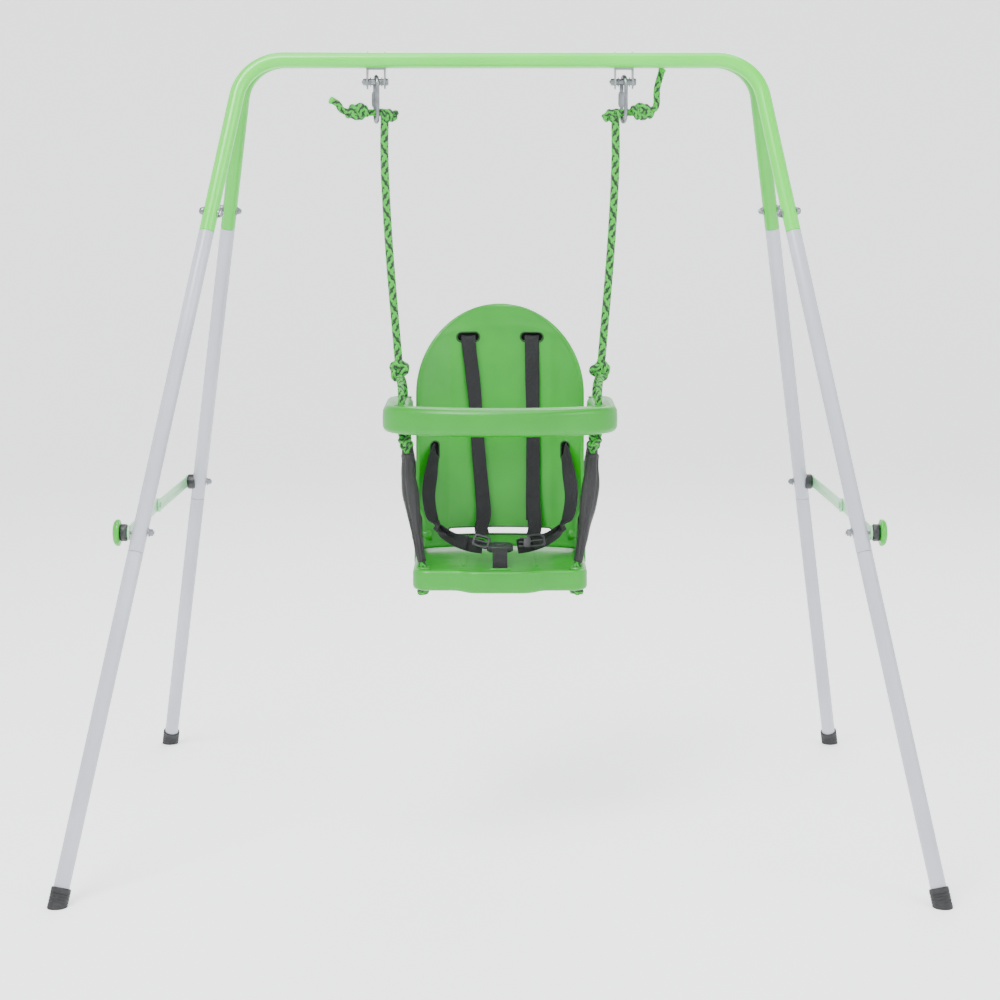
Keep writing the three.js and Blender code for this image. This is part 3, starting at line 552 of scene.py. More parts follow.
for hand, side in leftRight.items():
    height = tubing["pivot"]
    spots = {"front": at(side * frontPlate, pivotY, height), "frontEnd": at(side * frontPlate, 0, height),
        "rearStart": at(side * rearMiddle, 0, height), "rear": at(side * rearEnd, -pivotY, height)}
    front = Shape()
    link(front, spots["front"], spots["frontEnd"], side)
    rivet(front, spots["frontEnd"] + at(side * brace["thick"], 0, 0), (side, 0, 0))
    rivet(front, at(side * (rearMiddle - 0.9), 0, height), (-side, 0, 0), 5.0, 2.2)
    front.piece("front_brace_" + hand, ["mintPaint"], "front_link_" + hand, "brace_paint",
        "brace_link_front_" + hand, 40)
    rear = Shape()
    place, length = link(rear, spots["rearStart"], spots["rear"], side)
    rivet(rear, place @ at(length, brace["thick"], 0), place.col[1].to_3d())
    rear.piece("rear_brace_" + hand, ["mintPaint"], "rear_link_" + hand, "brace_paint",
        "brace_link_rear_" + hand, 40)

    pivot = onLeg(frames["rear"], side, height)
    face = outerFace(frames["rear"])
    axis = facing(at(0, pivot.y / mm, height), (side, 0, 0), (0, 0, 1))
    spacer = turned(Shape(), [(12.2, face - 5), (13.6, face - 4.4), (13.8, face - 3.6), (13.8, face + 6.6),
        (13.2, face + 7.9), (4, face + 8.1)], axis, 40, wave=lambda a, r,
        z: -0.5 * (cos(12 * a) > 0.6) * (r > 13.7))
    spacer.piece("spacer_" + hand, ["blackPlastic"], "rear_frame", "black_plastic",
        "pivot_spacer_" + hand, 40)
    inner = 2 * abs(pivot.x / mm) - face - 1.6
    bolt = pivotBolt(axis, inner, face + 7.7)
    bolt.piece("rear_pivot_bolt_" + hand, ["zinc"], "rear_frame", "zinc", "pivot_bolt_" + hand, 35)

    pivot = onLeg(frames["front"], side, height)
    axis = facing(at(0, pivot.y / mm, height), (side, 0, 0), (0, 0, 1))
    inner = 2 * abs(pivot.x / mm) - outerFace(frames["front"]) - 1.6
    hub = frontPlate + brace["thick"] + 0.3
    bolt = pivotBolt(axis, inner, hub + 10)
    bolt.piece("front_knob_bolt_" + hand, ["zinc"], "front_frame", "zinc", "knob_bolt_" + hand, 35)
    axis.translation = at(side * hub, pivot.y / mm, height)
    knob = turned(Shape(), [(5, 0), (11.6, 0.1), (13.2, 0.8), (14, 2.2), (14, 9.6), (13, 11.4),
        (12.4, 12.2)], axis, 48, wave=lambda a, r, z: -0.35 * (cos(16 * a) > 0.5) * (2 < z < 10))
    turned(knob, [(12, 12), (19.5, 12.1), (21.2, 13), (21.5, 14.4), (21.3, 17), (20.2, 19.4), (18, 21.2),
        (14.8, 22.3), (12.6, 22.8), (12, 22.3), (11.2, 22.2), (0.3, 22.6)], axis, 96, pick=1,
        wave=lambda a, r, z: -0.9 * max(0, cos(9 * a)) ** 6 * (r > 17))
    knob.piece("locking_knob_" + hand, ["blackPlastic", "knobGreen"], "knob_" + hand, "knob_plastic",
        "knob_" + hand, 50)
print("braces ready")

# hangers
hanger = {"half": 209, "z": 1276, "ear": 13.5, "plate": 2.5, "bar": 3.3, "tall": 82, "wide": 36, "yaw": 0.2}


# the outline drawn in by inset; it runs anticlockwise
def offsetOutline(outline, inset):
    made, n = [], len(outline)
    for k in range(n):
        ax, ay = outline[k - 1]
        bx, by = outline[(k + 1) % n]
        dx, dy = bx - ax, by - ay
        size = hypot(dx, dy) or 1
        made.append((outline[k][0] - dy / size * inset, outline[k][1] + dx / size * inset))
    return made


# places an outline of (y, z) upright at x, with its thickness along X
def standing(x, y):
    turn = Matrix(((0, 0, 1), (1, 0, 0), (0, 1, 0))).to_4x4()
    turn.translation = at(x, y, 0)
    return turn


earOutline = arc(tubing["apart"], barZ, tubeR + 2.9, -0.55, pi + 0.9, 30)
earOutline += [(-15, barZ - 14)]
earOutline += arc(0, hanger["z"], 12, pi, tau, 20)
for hand, side in leftRight.items():
    x = side * hanger["half"]
    bracket = Shape()
    for inner in (-hanger["ear"] - hanger["plate"], hanger["ear"]):
        stacked(bracket, lambda i: offsetOutline(earOutline, i), rounded(0, hanger["plate"], 0.6, 3),
            standing(x + inner, 0))
    top = barZ - tubeR - 0.3
    rings = []
    for k in range(12):
        y = -14 + 23 * k / 11
        sag = 0.6 * sin(pi * k / 11)
        rings.append([at(x + px, y, pz - sag) for px, pz in [(-14.4, top - 2.5), (14.4, top - 2.5),
            (14.4, top), (-14.4, top)]])
    bracket.rings(rings)
    bracket.piece("hanger_plate_" + hand, ["bracketPaint"], "front_frame", "bracket_paint",
        "hanger_bracket_" + hand, 40)

    axis = facing(at(x, 0, hanger["z"]), (1, 0, 0), (0, 0, 1))
    ear = hanger["ear"] + hanger["plate"] + 0.3
    bolt = turned(Shape(), [(2.4, -ear - 8), (3, -ear - 7.2), (3, ear + 1)], axis, 20)
    turned(bolt, [(5, -ear - 6), (5.7, -ear - 5.4), (5.7, -ear - 1), (6.4, -ear - 0.9), (6.4, -ear)],
        axis, 6)
    turned(bolt, [(6.6, ear - 0.1), (6.6, ear + 1), (5.8, ear + 1.1), (5.7, ear + 4), (5, ear + 4.6)],
        axis, 6)
    turned(bolt, [(5.4, -13.2), (5.4, 13.2)], axis, 28)
    for z in (-10.5, 8.5):
        turned(bolt, [(5.2, z), (7.4, z + 0.1), (8, z + 0.6), (8, z + 1.4), (7.4, z + 1.9), (5.2, z + 2)],
            axis, 32)
    bolt.piece("shoulder_bolt_" + hand, ["zinc"], "front_frame", "zinc", "hanger_bolt_" + hand, 35)

    turn = Matrix.Rotation(hanger["yaw"], 4, "Z")
    turn.translation = at(x, 0, hanger["z"])
    bendY = hanger["wide"] / 2 - hanger["bar"]
    topZ = 5.4 + hanger["bar"] + 0.3
    lowZ = topZ + hanger["bar"] - (hanger["tall"] - hanger["bar"])
    middle = (topZ + lowZ) / 2
    loop = [(bendY, middle + 2)] + arc(0, topZ - bendY, bendY, 0, pi, 20)
    loop += arc(0, lowZ + bendY, bendY, pi, tau, 20) + [(bendY, middle - 2)]
    eye = tube(Shape(), [turn @ at(0, y, z) for y, z in loop], hanger["bar"] * mm, 20)
    eye.piece("link_" + hand, ["zinc"], "swing", "zinc", "quick_link_" + hand, 50)
    spot = turn.copy()
    spot.translation = turn @ at(0, bendY, middle)
    nut = turned(Shape(), [(3.7, -12.5), (4.6, -12.4), (5.2, -11.6), (5.2, -9.4)], spot, 32)
    turned(nut, [(5.2, -9.5), (5.8, -8.9), (5.8, 8.9), (5.2, 9.5)], spot, 6)
    turned(nut, [(5.2, 9.4), (5.2, 11.6), (4.6, 12.4), (3.7, 12.5)], spot, 32)
    nut.piece("link_nut_" + hand, ["zinc"], "link_sleeve_" + hand, "zinc", "link_sleeve_" + hand, 35)
print("hangers ready")

# ropes: twelve yarns, six each way, pass over and under each other round a core; the core and some yarns
# are dark green, partly the rope's own dark yarn and partly painted shade in the gaps between yarns
rope = {"upper": 7.2, "strand": 5.8, "hang": 209, "knotHalf": 173, "knotZ": 788,
    "eyeZ": 1224.4, "shift": -22}
lay = {"yarns": 6, "sides": 6, "pitch": 7.4, "core": 0.72, "middle": 0.76, "weave": 0.08,
    "wide": 0.31, "thick": 0.2}


# the points are evenly spaced and radius is in mm; the sizes in lay are shares of it
def braid(shape, points, radius):
    r = radius * mm
    step = runLength(points) / (len(points) - 1)
    turnRate = tau / (lay["pitch"] * r)
    frameRun = steady(points)
    # the core takes the dark rope green, painted shade where it shows between the yarns
    tube(shape, points, r * lay["core"], 12, pick=1)
    sides = lay["sides"]
    for way in (1, -1):
        for k in range(lay["yarns"]):
            start = tau * k / lay["yarns"]
            centres, outs = [], []
            for j, (p, side, up, along) in enumerate(frameRun):
                turn = way * turnRate * (j * step)
                a = turn + start
                meet = cos(lay["yarns"] / 2 * (a + turn) + k * pi) * way
                outs.append(side * cos(a) + up * sin(a))
                centres.append(p + outs[-1] * (r * (lay["middle"] + lay["weave"] * meet)))
            rings, uvRings = [], []
            for j, out in enumerate(outs):
                go = (centres[min(j + 1, len(centres) - 1)] - centres[max(j - 1, 0)]).normalized()
                flatWay = out.cross(go).normalized()
                angles = [tau * m / sides for m in range(sides)]
                rings.append([centres[j] + flatWay * (r * lay["wide"] * cos(b))
                    + out * (r * lay["thick"] * sin(b)) for b in angles])
                uvRings.append([(m / sides * 1.2, j * step * 6) for m in range(sides)])
            # the dark yarns are partly real dark yarn and partly painted shade for the gaps between light
            # yarns
            dark = k % (2 if way > 0 else 3) == 0
            shape.rings(rings, int(dark), uvRings=uvRings)
    return shape


# a tight overhand knot that fills a box of half sizes about its centre, in mm
def knot(shape, centre, half, radius, tilt=0.0, turn=0.0):
    room = [h - radius for h in half]
    spin = Matrix.Rotation(tilt, 3, "Y") @ Matrix.Rotation(turn, 3, "Z")
    points, steps = [], 120
    for k in range(steps + 1):
        t = tau * k / steps
        a = (sin(t) + 2 * sin(2 * t)) / 3
        b = (cos(t) - 2 * cos(2 * t)) / 3
        points.append(centre + spin @ at(a * room[0], -sin(3 * t) * room[1], b * room[2]))
    braid(shape, evenly(points, steps), radius)


# rope wound round the line from start to end; reach is from that line to the rope's middle, in mm
def coil(shape, start, end, reach, radius, turns):
    place = facing(start, end - start)
    length = (end - start).length / mm
    count = int(26 * turns)
    points = []
    for k in range(count + 1):
        s = k / count
        a = tau * turns * s
        swell = reach * (0.82 + 0.18 * sin(pi * s))
        points.append(place @ at(swell * cos(a), swell * sin(a), length * s))
    braid(shape, evenly(points, count * 2), radius)


ropeLook = ["ropeLight", "ropeDarkYarnAndGapShade"]
sleeveCut = {"width": 82, "length": 192, "thick": 0.9, "around": tau + 0.5}


# a sheet wrapped once round the run, with its two long edges overlapped
def wrapped(points, radius, around, start, count=72):
    shape, rings = Shape(), len(points)
    gone = 0.0
    for k, (p, side, up, along) in enumerate(steady(points)):
        if k:
            gone += (points[k] - points[k - 1]).length
        for j in range(count + 1):
            a = around * j / count
            lap = 1.1 * mm * max(0, (a - tau + 0.3)) / 0.8
            r = radius(k, a + start, k / (rings - 1)) + lap
            shape.verts.append(p + (side * cos(a + start) + up * sin(a + start)) * r)
            shape.uvs.append((a * 0.011, gone))
    for k in range(rings - 1):
        for j in range(count):
            a = k * (count + 1) + j
            shape.faces.append((a, a + 1, a + count + 2, a + count + 1))
    shape.picks = [0] * len(shape.faces)
    return shape


tails = {"left": [(-58, 2, 5), (-66, 0, 16), (-75, -2, 21)],
    "right": [(54, -2, 10), (56, 0, 40), (64, 2, 70)]}
for hand, side in leftRight.items():
    x = side * rope["hang"]
    eye = at(x, 0, rope["eyeZ"])
    upper = Shape()
    down = run([eye + at(-14 * side, 0, -2), at(x - 13 * side, 0, 1150), at(side * 190, 0, 1011),
        at(side * rope["knotHalf"], 0, rope["knotZ"])], 230)
    braid(upper, down, rope["upper"])
    braid(upper, run([eye + at(36 * side, 0, 0), eye + at(8 * side, 1, 1), eye + at(-22 * side, 0, 0)],
        30), rope["strand"])
    knot(upper, eye + at(34 * side, 0, 2), (19.5, 14, 15), 5.8, tilt=0.5 * side)
    coil(upper, eye + at(16 * side, 0, 1), eye + at(48 * side, 0, 3), 8.6, 5.2, 3)
    knot(upper, eye + at(-21 * side, 0, -4), (16, 11, 12.5), 5.0, tilt=-0.4 * side, turn=0.8)
    coil(upper, eye + at(-7 * side, 0, -2), eye + at(-33 * side, 0, -5), 6.2, 5.2, 2.2)
    tail = run([eye + at(40 * side, 0, 0)] + [eye + at(*p) for p in tails[hand]], 34)
    braid(upper, tail, rope["strand"])
    end = tail[-1]
    tuft = facing(end, tail[-1] - tail[-3])
    turned(upper, [(5, -2), (6.2, -0.5), (6.3, 1.5), (5.6, 3.4), (3, 4.6), (0.3, 4.8)], tuft, 20, pick=0,
        wave=lambda a, r, z: 0.5 * cos(7 * a))
    lean = 0.25 if side < 0 else -0.55
    knot(upper, at(side * rope["knotHalf"] - 1.5, 0, rope["knotZ"]), (18.5, 15, 20), 6.4, tilt=lean)
    knot(upper, at(side * rope["knotHalf"] + (4 if side < 0 else 3), 1, rope["knotZ"] + 3), (13, 13, 17),
        6.0, tilt=lean + 1.3, turn=0.9)
    upper.piece("rope_top_" + hand, ropeLook, "swing", "rope", "rope_upper_" + hand)

    for word, front in (("front", -1), ("rear", 1)):
        bow = 5 if front > 0 else 0

        def seatPoint(px, py, pz):
            return at(side * px, front * py + rope["shift"], pz)

        start = at(side * (rope["knotHalf"] - 1), front * 16, rope["knotZ"] - 11)
        mouth = seatPoint(166, 69, 749)
        lift = start.lerp(mouth, 0.62)
        lift.z = 767 * mm
        line = run([start, lift, mouth, seatPoint(166, 70, 738), seatPoint(166, 70, 687),
            seatPoint(159 + bow, 74, 676), seatPoint(153 + bow, 87, 605), seatPoint(133, 116, 488),
            seatPoint(129, 118, 470), seatPoint(129, 118, 431)], 230)
        strand = braid(Shape(), line, rope["strand"])
        under = min(line, key=lambda p: abs(p.z - 0.676))
        knot(strand, under, (13, 12, 13.5), 5.2, tilt=0.3 * side, turn=0.7 * front)
        knot(strand, line[-1] - at(0, 0, 3), (11, 11, 6.2), 4.4, turn=0.5 * side)
        strand = strand.piece("rope_" + word + "_line_" + hand, ropeLook, "swing", "rope",
            "rope_" + word + "_" + hand)

        covered = evenly([p for p in line if 0.478 < p.z < 0.657], 90)
        phase = random.uniform(0, tau)
        top = 0 if covered[0].z > covered[-1].z else 1

        def folds(k, a, share):
            s = share if not top else 1 - share
            belly = 7.9 + 6.0 * exp(-((s - 0.36) / 0.26) ** 2) + 1.2 * exp(-((s - 0.02) / 0.03) ** 2)
            belly -= 0.9 * max(0, s - 0.8) / 0.2
            soft = min(1, s / 0.06, (1 - s) / 0.05)
            crease = cos(5 * a + phase + 2.4 * s) + 0.6 * cos(8 * a - 3 * s + 2 * phase)
            crease += 0.5 * sin(26 * s + 2 * a + phase)
            squeeze = 1 + 0.16 * cos(2 * a + phase) * exp(-((s - 0.4) / 0.3) ** 2)
            hem = 0.55 if s > 0.965 or s < 0.03 else 0
            return (belly * squeeze + 0.62 * crease * soft + hem) * mm

        cover = wrapped(covered, folds, sleeveCut["around"], 2.2 if side < 0 else 0.9)
        cover = cover.piece("rope_cover_" + word + "_" + hand, ["sleeveCloth"], "swing", "rope_sleeve",
            crease=70, outward=False)
        thick = cover.modifiers.new("cloth", "SOLIDIFY")
        thick.thickness = sleeveCut["thick"] * mm
        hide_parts("rope_sleeve_" + word + "_" + hand)
print("ropes ready")

# seat: base, tray and backrest
seat = {"shift": -22, "baseTop": 470, "baseThick": 35, "baseHalf": 146, "front": -154, "rear": 138,
    "bulge": 12, "hole": (129, 118), "earOuter": 150, "earThick": 9, "earHigh": 46, "earLong": 44,
    "pin": (70, 494)}
seatPlace = Matrix.Translation(at(0, seat["shift"], 0))


def evenOutline(points, count):
    closed = [Vector((x, y, 0)) for x, y in points + points[:1]]
    return [(p.x, p.y) for p in evenly(closed, count)[:-1]]


# the raised rims above and below the two rope holes of one side
def holeRims(shape, sx, hole, upper, lower):
    for sy in (-1, 1):
        spot = seatPlace @ Matrix.Translation(at(sx * hole[0], sy * hole[1], 0))
        turned(shape, upper, spot, 40)
        turned(shape, lower, spot, 40)


def bezier(a, b, c, d, steps):
    made = []
    for k in range(steps):
        t = k / steps
        u = 1 - t
        made.append(tuple(u ** 3 * a[i] + 3 * u * u * t * b[i] + 3 * u * t * t * c[i] + t ** 3 * d[i]
            for i in (0, 1)))
    return made


def basePlan(inset):
    half = seat["baseHalf"] - inset
    front, rear = seat["front"] + inset, seat["rear"] - inset
    r = max(26 - inset, 8)
    ahead = front - seat["bulge"]
    outline = [(-half + r, front)]
    outline += bezier((-78, front), (-58, front), (-56, ahead), (-34, ahead), 14)
    outline += bezier((34, ahead), (56, ahead), (58, front), (78, front), 14) + [(78, front)]
    outline += arc(half - r, front + r, r, -pi / 2, 0, 10) + arc(half - r, rear - r, r, 0, pi / 2, 10)
    outline += arc(-half + r, rear - r, r, pi / 2, pi, 10)
    outline += arc(-half + r, front + r, r, pi, 1.5 * pi, 10)
    return evenOutline(outline, 220)


# the middle of the front edge hangs a little lower
def baseDrop(v):
    x, y, z = v.x / mm, v.y / mm - seat["shift"], v.z / mm
    if y > -120 or z > 462:
        return v
    depth = min(1, (-120 - y) / 30)
    middle = 1 / (1 + exp((abs(x) - 62) / 5))
    return v - at(0, 0, 2.6 * middle * depth * max(0, min(1, (462 - z) / 20)))


low, top = seat["baseTop"] - seat["baseThick"], seat["baseTop"]
profile = [(60, low + 2.5), (30, low + 2.2), (26, low + 0.4), (22, low)] + rounded(low, top, 7, 6)[0:7]
profile += [(0, low + 14), (0.15, low + 20)] + rounded(low, top, 7, 6)[7:]
profile += [(11, top), (15, top - 0.5), (20, top - 2.6), (26, top - 3.4), (44, top - 3.8), (72, top - 4.2)]
base = stacked(Shape(), basePlan, profile, seatPlace)
base.verts = [baseDrop(v) for v in base.verts]
upper = [(13.6, top - 2.2), (12.6, top + 0.2), (11, top + 1.2), (9, top + 1.3),
    (7.7, top + 0.4), (7.4, top - 6)]
lower = [(7.4, low + 6), (7.8, low - 0.2), (9.6, low - 0.8), (12, low - 0.4), (13.4, low + 1)]
for sx in (-1, 1):
    holeRims(base, sx, seat["hole"], upper, lower)
    inner = seat["earOuter"] - seat["earThick"] if sx > 0 else -seat["earOuter"]
    pinY, pinZ = seat["pin"]
    crownZ = top + seat["earHigh"] - seat["earLong"] / 2
    earLine = arc(pinY, crownZ, seat["earLong"] / 2, 0, pi, 24)
    earLine += [(pinY - 23, top - 4), (pinY - 26, low + 14), (pinY + 26, low + 14), (pinY + 23, top - 4)]
    stacked(base, lambda i: offsetOutline(earLine, i), rounded(0, seat["earThick"], 2.6, 5),
        standing(inner, seat["shift"]))
    boss = facing(at(sx * seat["earOuter"], pinY + seat["shift"], pinZ), (sx, 0, 0))
    turned(base, [(12.5, -0.6), (12.3, 0.3), (11.6, 0.6), (10.6, 0.6), (10, 0)], boss, 40)
slotPlan = oval(17, 5.5, 6, 60)
crotch = seatPlace @ Matrix.Translation(at(0, -116, 0))
stacked(base, slotPlan, [(-1.5, top - 4.6), (-1, top - 2.6), (0.4, top - 1.8), (1.9, top - 2),
    (2.6, top - 3), (2.8, top - 5)], crotch)
stacked(base, slotPlan, [(2.8, low + 4), (2, low - 0.6), (0.2, low - 0.9), (-1.4, low + 0.8)], crotch)
for x in (-62, 62):
    rib = facing(at(x, seat["shift"] - 20, top - 4.4), (0, 0, 1), (0, 1, 0))
    stacked(base, oval(70, 5, 2.6, 72), [(-1.2, 0), (0, 0.7), (1.3, 1.4), (2.8, 1.6)], rib)
base.piece("seat_pan", ["seatGreen"], "swing", "seat_plastic", "seat_base", 48)

trayShape = {"top": 738, "thick": 46, "half": 198, "bar": 47, "front": -154, "corner": 92, "rear": 96,
    "hole": (166, 70)}


def trayPlan(inset):
    t = trayShape
    outer, inner = t["half"] - inset, t["half"] - t["bar"] + inset
    cornerY = t["front"] + t["corner"]
    tip = (outer - inner) / 2
    deepOuter, deepInner = t["corner"] - inset, t["corner"] - t["bar"] + inset
    outline = [(outer * cos(a), cornerY + deepOuter * sin(a))
        for a in [-pi + pi * k / 60 for k in range(61)]]
    outline += arc(outer - tip, t["rear"] - inset - tip, tip, 0, pi, 16)
    outline += [(inner * cos(a), cornerY + deepInner * sin(a)) for a in [-pi * k / 60 for k in range(61)]]
    outline += arc(-outer + tip, t["rear"] - inset - tip, tip, 0, pi, 16)
    return outline


low, top = trayShape["top"] - trayShape["thick"], trayShape["top"]
edge = rounded(low, top, 12, 9)
profile = edge[:10] + [(-0.2, low + 18), (-0.3, low + 24), (-0.1, low + 29), (0.25, top - 13.4),
    (0.3, top - 12.9)] + edge[11:]
profile += [(14, top), (15, top - 0.5), (17, top - 0.9), (20, top - 1)]
bumper = stacked(Shape(), trayPlan, profile, seatPlace)
upper = [(12.6, top - 2), (12.2, top + 0.2), (10.6, top + 1), (8.8, top + 1),
    (7.7, top + 0.2), (7.4, top - 6)]
lower = [(7.4, low + 6), (7.8, low - 0.1), (9.4, low - 0.7), (12, low)]
for sx in (-1, 1):
    holeRims(bumper, sx, trayShape["hole"], upper, lower)
bumper.piece("tray_bar", ["seatGreen"], "tray", "seat_plastic", "tray", 48)

back = {"low": 471.5, "top": 896, "half": 147, "thick": 4.2, "curve": 300, "foot": 88, "lean": 0.125,
    "crown": 154.35, "narrow": 136}


def backAt(z):
    return back["foot"] + (z - back["low"]) * back["lean"]


def backSag(x):
    return back["curve"] - sqrt(back["curve"] ** 2 - x * x)


def backWidth(rise):
    if rise < 50:
        return back["narrow"]
    if rise < 80:
        s = (rise - 50) / 30
        return back["narrow"] + (back["half"] - back["narrow"]) * s * s * (3 - 2 * s)
    over = rise - (back["top"] - back["low"] - back["crown"])
    if over <= 0:
        return back["half"]
    return back["half"] * sqrt(max(0.0, 1 - (over / back["crown"]) ** 2))


# how far the front face stands proud of the plain shell: soft upright folds, and a brow along the top
def relief(x, z):
    fold = -1.3 * exp(-((abs(x) - 88) / 7) ** 2) + 0.9 * exp(-((abs(x) - 104) / 9) ** 2)
    fold += 0.7 * exp(-((abs(x) - 26) / 16) ** 2)
    fade = min(1, max(0, (z - 500) / 40)) * min(1, max(0, (860 - z) / 60))
    brow = 1.0 * exp(-((z - 858 + x * x / 700) / 7) ** 2)
    return fold * fade + brow


columns, rows = 112, 150
rise = back["top"] - back["low"]
grid = {1: [], -1: []}
for face in (1, -1):
    for r in range(rows + 1):
        share = r / rows
        level = rise * (share * 0.72 + 0.28 * sin(share * pi / 2))
        level = min(level, rise - 0.25)
        width = max(backWidth(level), 2.0)
        for c in range(columns + 1):
            u = -1 + 2 * c / columns
            u = sin(u * pi / 2) * 0.35 + u * 0.65
            x, z = width * u, back["low"] + level
            near = min(width * (1 - abs(u)), (rise - level), level + 3)
            roll = 1.9 * max(0, 1 - near / 5.0) ** 0.5 if near < 5 else 0
            rim = 0.9 * exp(-((near - 4.5) / 2.6) ** 2)
            depth = back["thick"] / 2 - roll
            middle = backAt(z) - backSag(x) + back["thick"] / 2
            y = middle - face * depth - (relief(x, z) + rim if face > 0 else -rim * 0.6)
            grid[face].append(at(x, y + seat["shift"], z))
shell = Shape()
shell.verts = grid[1] + grid[-1]
shell.uvs = [(v.x, v.z) for v in shell.verts]
count, wide = len(grid[1]), columns + 1
for r in range(rows):
    for c in range(columns):
        a = r * wide + c
        shell.faces.append((a, a + 1, a + 1 + wide, a + wide))
        shell.faces.append((count + a, count + a + wide, count + a + 1 + wide, count + a + 1))
border = list(range(wide)) + [r * wide + columns for r in range(1, rows + 1)]
border += [rows * wide + c for c in reversed(range(columns))] + [r * wide for r in reversed(range(1, rows))]
for k, a in enumerate(border):
    b = border[(k + 1) % len(border)]
    shell.faces.append((b, a, count + a, count + b))
shell.picks = [0] * len(shell.faces)
shell = shell.piece("seat_back", ["seatGreen"], "swing", "seat_plastic", "backrest")

slots = [(0, 499, 182, 11)] + [(s * 56, 838, 38, 15) for s in (-1, 1)] + [(s * 114, 641, 13, 32)
    for s in (-1, 1)]


def slotOutline(w, h, inset=0.0):
    r = min(w, h) / 2
    runX, runY = max(0, w / 2 - r), max(0, h / 2 - r)
    r -= inset
    return (arc(runX, runY, r, 0, pi / 2, 8) + arc(-runX, runY, r, pi / 2, pi, 8)
        + arc(-runX, -runY, r, pi, 1.5 * pi, 8) + arc(runX, -runY, r, 1.5 * pi, tau, 8))


# the slot rims run into the slots as their walls; they are coloured near-black green, painted shade in the
# recesses
cutters = Shape()
rims = Shape()
for x, z, w, h in slots:
    cutters.rings([[at(x + px, y, z + pz) for px, pz in slotOutline(w, h)] for y in (20, 180)])
    rings = []
    for inset, out in ((-2.6, -0.3), (-2.0, 1.0), (-0.9, 1.5), (0.2, 1.1), (0.5, -0.4), (0.5, -3.6),
            (0.2, -5), (-0.9, -5.6), (-2.2, -4.6)):
        ring = []
        for px, pz in evenOutline(slotOutline(w, h, inset), 96):
            y = backAt(z + pz) - backSag(x + px) - out
            ring.append(at(x + px, y + seat["shift"], z + pz))
        rings.append(ring)
    rims.rings(rings, 0, False, False)
cutter = cutters.piece("slot_cutter", ["seatGreen"], "swing", "seat_plastic", smooth=False)
cut = shell.modifiers.new("slots", "BOOLEAN")
cut.operation = "DIFFERENCE"
cut.solver = "EXACT"
cut.object = cutter
shellMesh = bpy.data.meshes.new_from_object(shell.evaluated_get(bpy.context.evaluated_depsgraph_get()))
shell.modifiers.clear()
shell.data = shellMesh
bpy.data.objects.remove(cutter)
# the rims take the near-black green, painted shade in the slots
rims.piece("seat_back_slot_rims", ["seatSlotShade"], "swing", "seat_plastic")

for hand, side in leftRight.items():
    axis = facing(at(0, seat["pin"][0] + seat["shift"], seat["pin"][1]), (side, 0, 0), (0, 0, 1))
    pin = turned(Shape(), [(4.4, 121), (5, 122), (5, 150)], axis, 28)
    turned(pin, [(7.6, 150.2), (8.5, 150.6), (8.5, 152.4), (8, 153.6), (6, 154.8), (3, 155.4),
        (0.3, 155.5)], axis, 36)
    pin.piece("seat_pin_" + hand, ["zinc"], "swing", "zinc", "backrest_pin_" + hand, 40)
    knuckle = turned(Shape(), [(7, 119.5), (10, 120), (11, 121.4), (11, 135), (10, 136.4), (7, 136.8)],
        axis, 40)
    knuckle.piece("seat_back_lug_" + hand, ["seatGreen"], "swing", "seat_plastic", crease=40)
print("seat ready")

# harness: flat webbing, laid along its own route
web = {"width": 25, "thick": 2.2, "doubled": 2.0}


# across is the direction of the width, which is in mm; both may change along the route
def ribbon(shape, points, across, width, cup, thick=web["thick"]):
    count, gone = len(points), 0.0
    rings, uvRings = [], []
    for k, p in enumerate(points):
        share = k / (count - 1)
        along = (points[min(k + 1, count - 1)] - points[max(k - 1, 0)]).normalized()
        if k:
            gone += (p - points[k - 1]).length
        wideWay = Vector(across(share) if callable(across) else across)
        wideWay = (wideWay - along * wideWay.dot(along)).normalized()
        out = wideWay.cross(along).normalized()
        w = (width(share) if callable(width) else width) / 2
        t = thick / 2
        top = [(-w, 0), (-w + 0.5, t * 0.8), (-w * 0.8, t), (-w * 0.4, t * 0.92), (0, t * 0.86),
            (w * 0.4, t * 0.92), (w * 0.8, t), (w - 0.5, t * 0.8), (w, 0)]
        outline = top + [(x, -y) for x, y in reversed(top[1:-1])]
        ring, uvRing = [], []
        for x, y in outline:
            bow = cup * (1 - (x / w) ** 2)
            ring.append(p + wideWay * (x * mm) + out * ((y + bow) * mm))
            uvRing.append(((x + w) * mm, gone))
        rings.append(ring)
        uvRings.append(uvRing)
    return shape.rings(rings, uvRings=uvRings)


def onBack(x, z, off):
    return at(x, backAt(z) - backSag(x) - off + seat["shift"], z)


def seatAt(x, y, z):
    return at(x, y + seat["shift"], z)


# a ladder lock: a rounded frame with bars across it
def frameLock(shape, place, width, tall, thick, bars):
    outer, rim = oval(width / 2, tall / 2, 5, 64), 4.2
    loop = []
    for inset, z in ((0.8, 0), (0, 0.9), (0, thick - 0.9), (0.8, thick), (rim - 0.8, thick),
            (rim, thick - 0.9), (rim, 0.9), (rim - 0.8, 0)):
        loop.append([place @ at(x, y, z) for x, y in outer(inset)])
    shape.rings(loop, loop=True)
    for k in range(bars):
        y = (k + 1) * tall / (bars + 1) - tall / 2
        tube(shape, [place @ at(x, y, thick * 0.55) for x in (-width / 2 + 2, 0, width / 2 - 2)],
            2.0 * mm, 14)


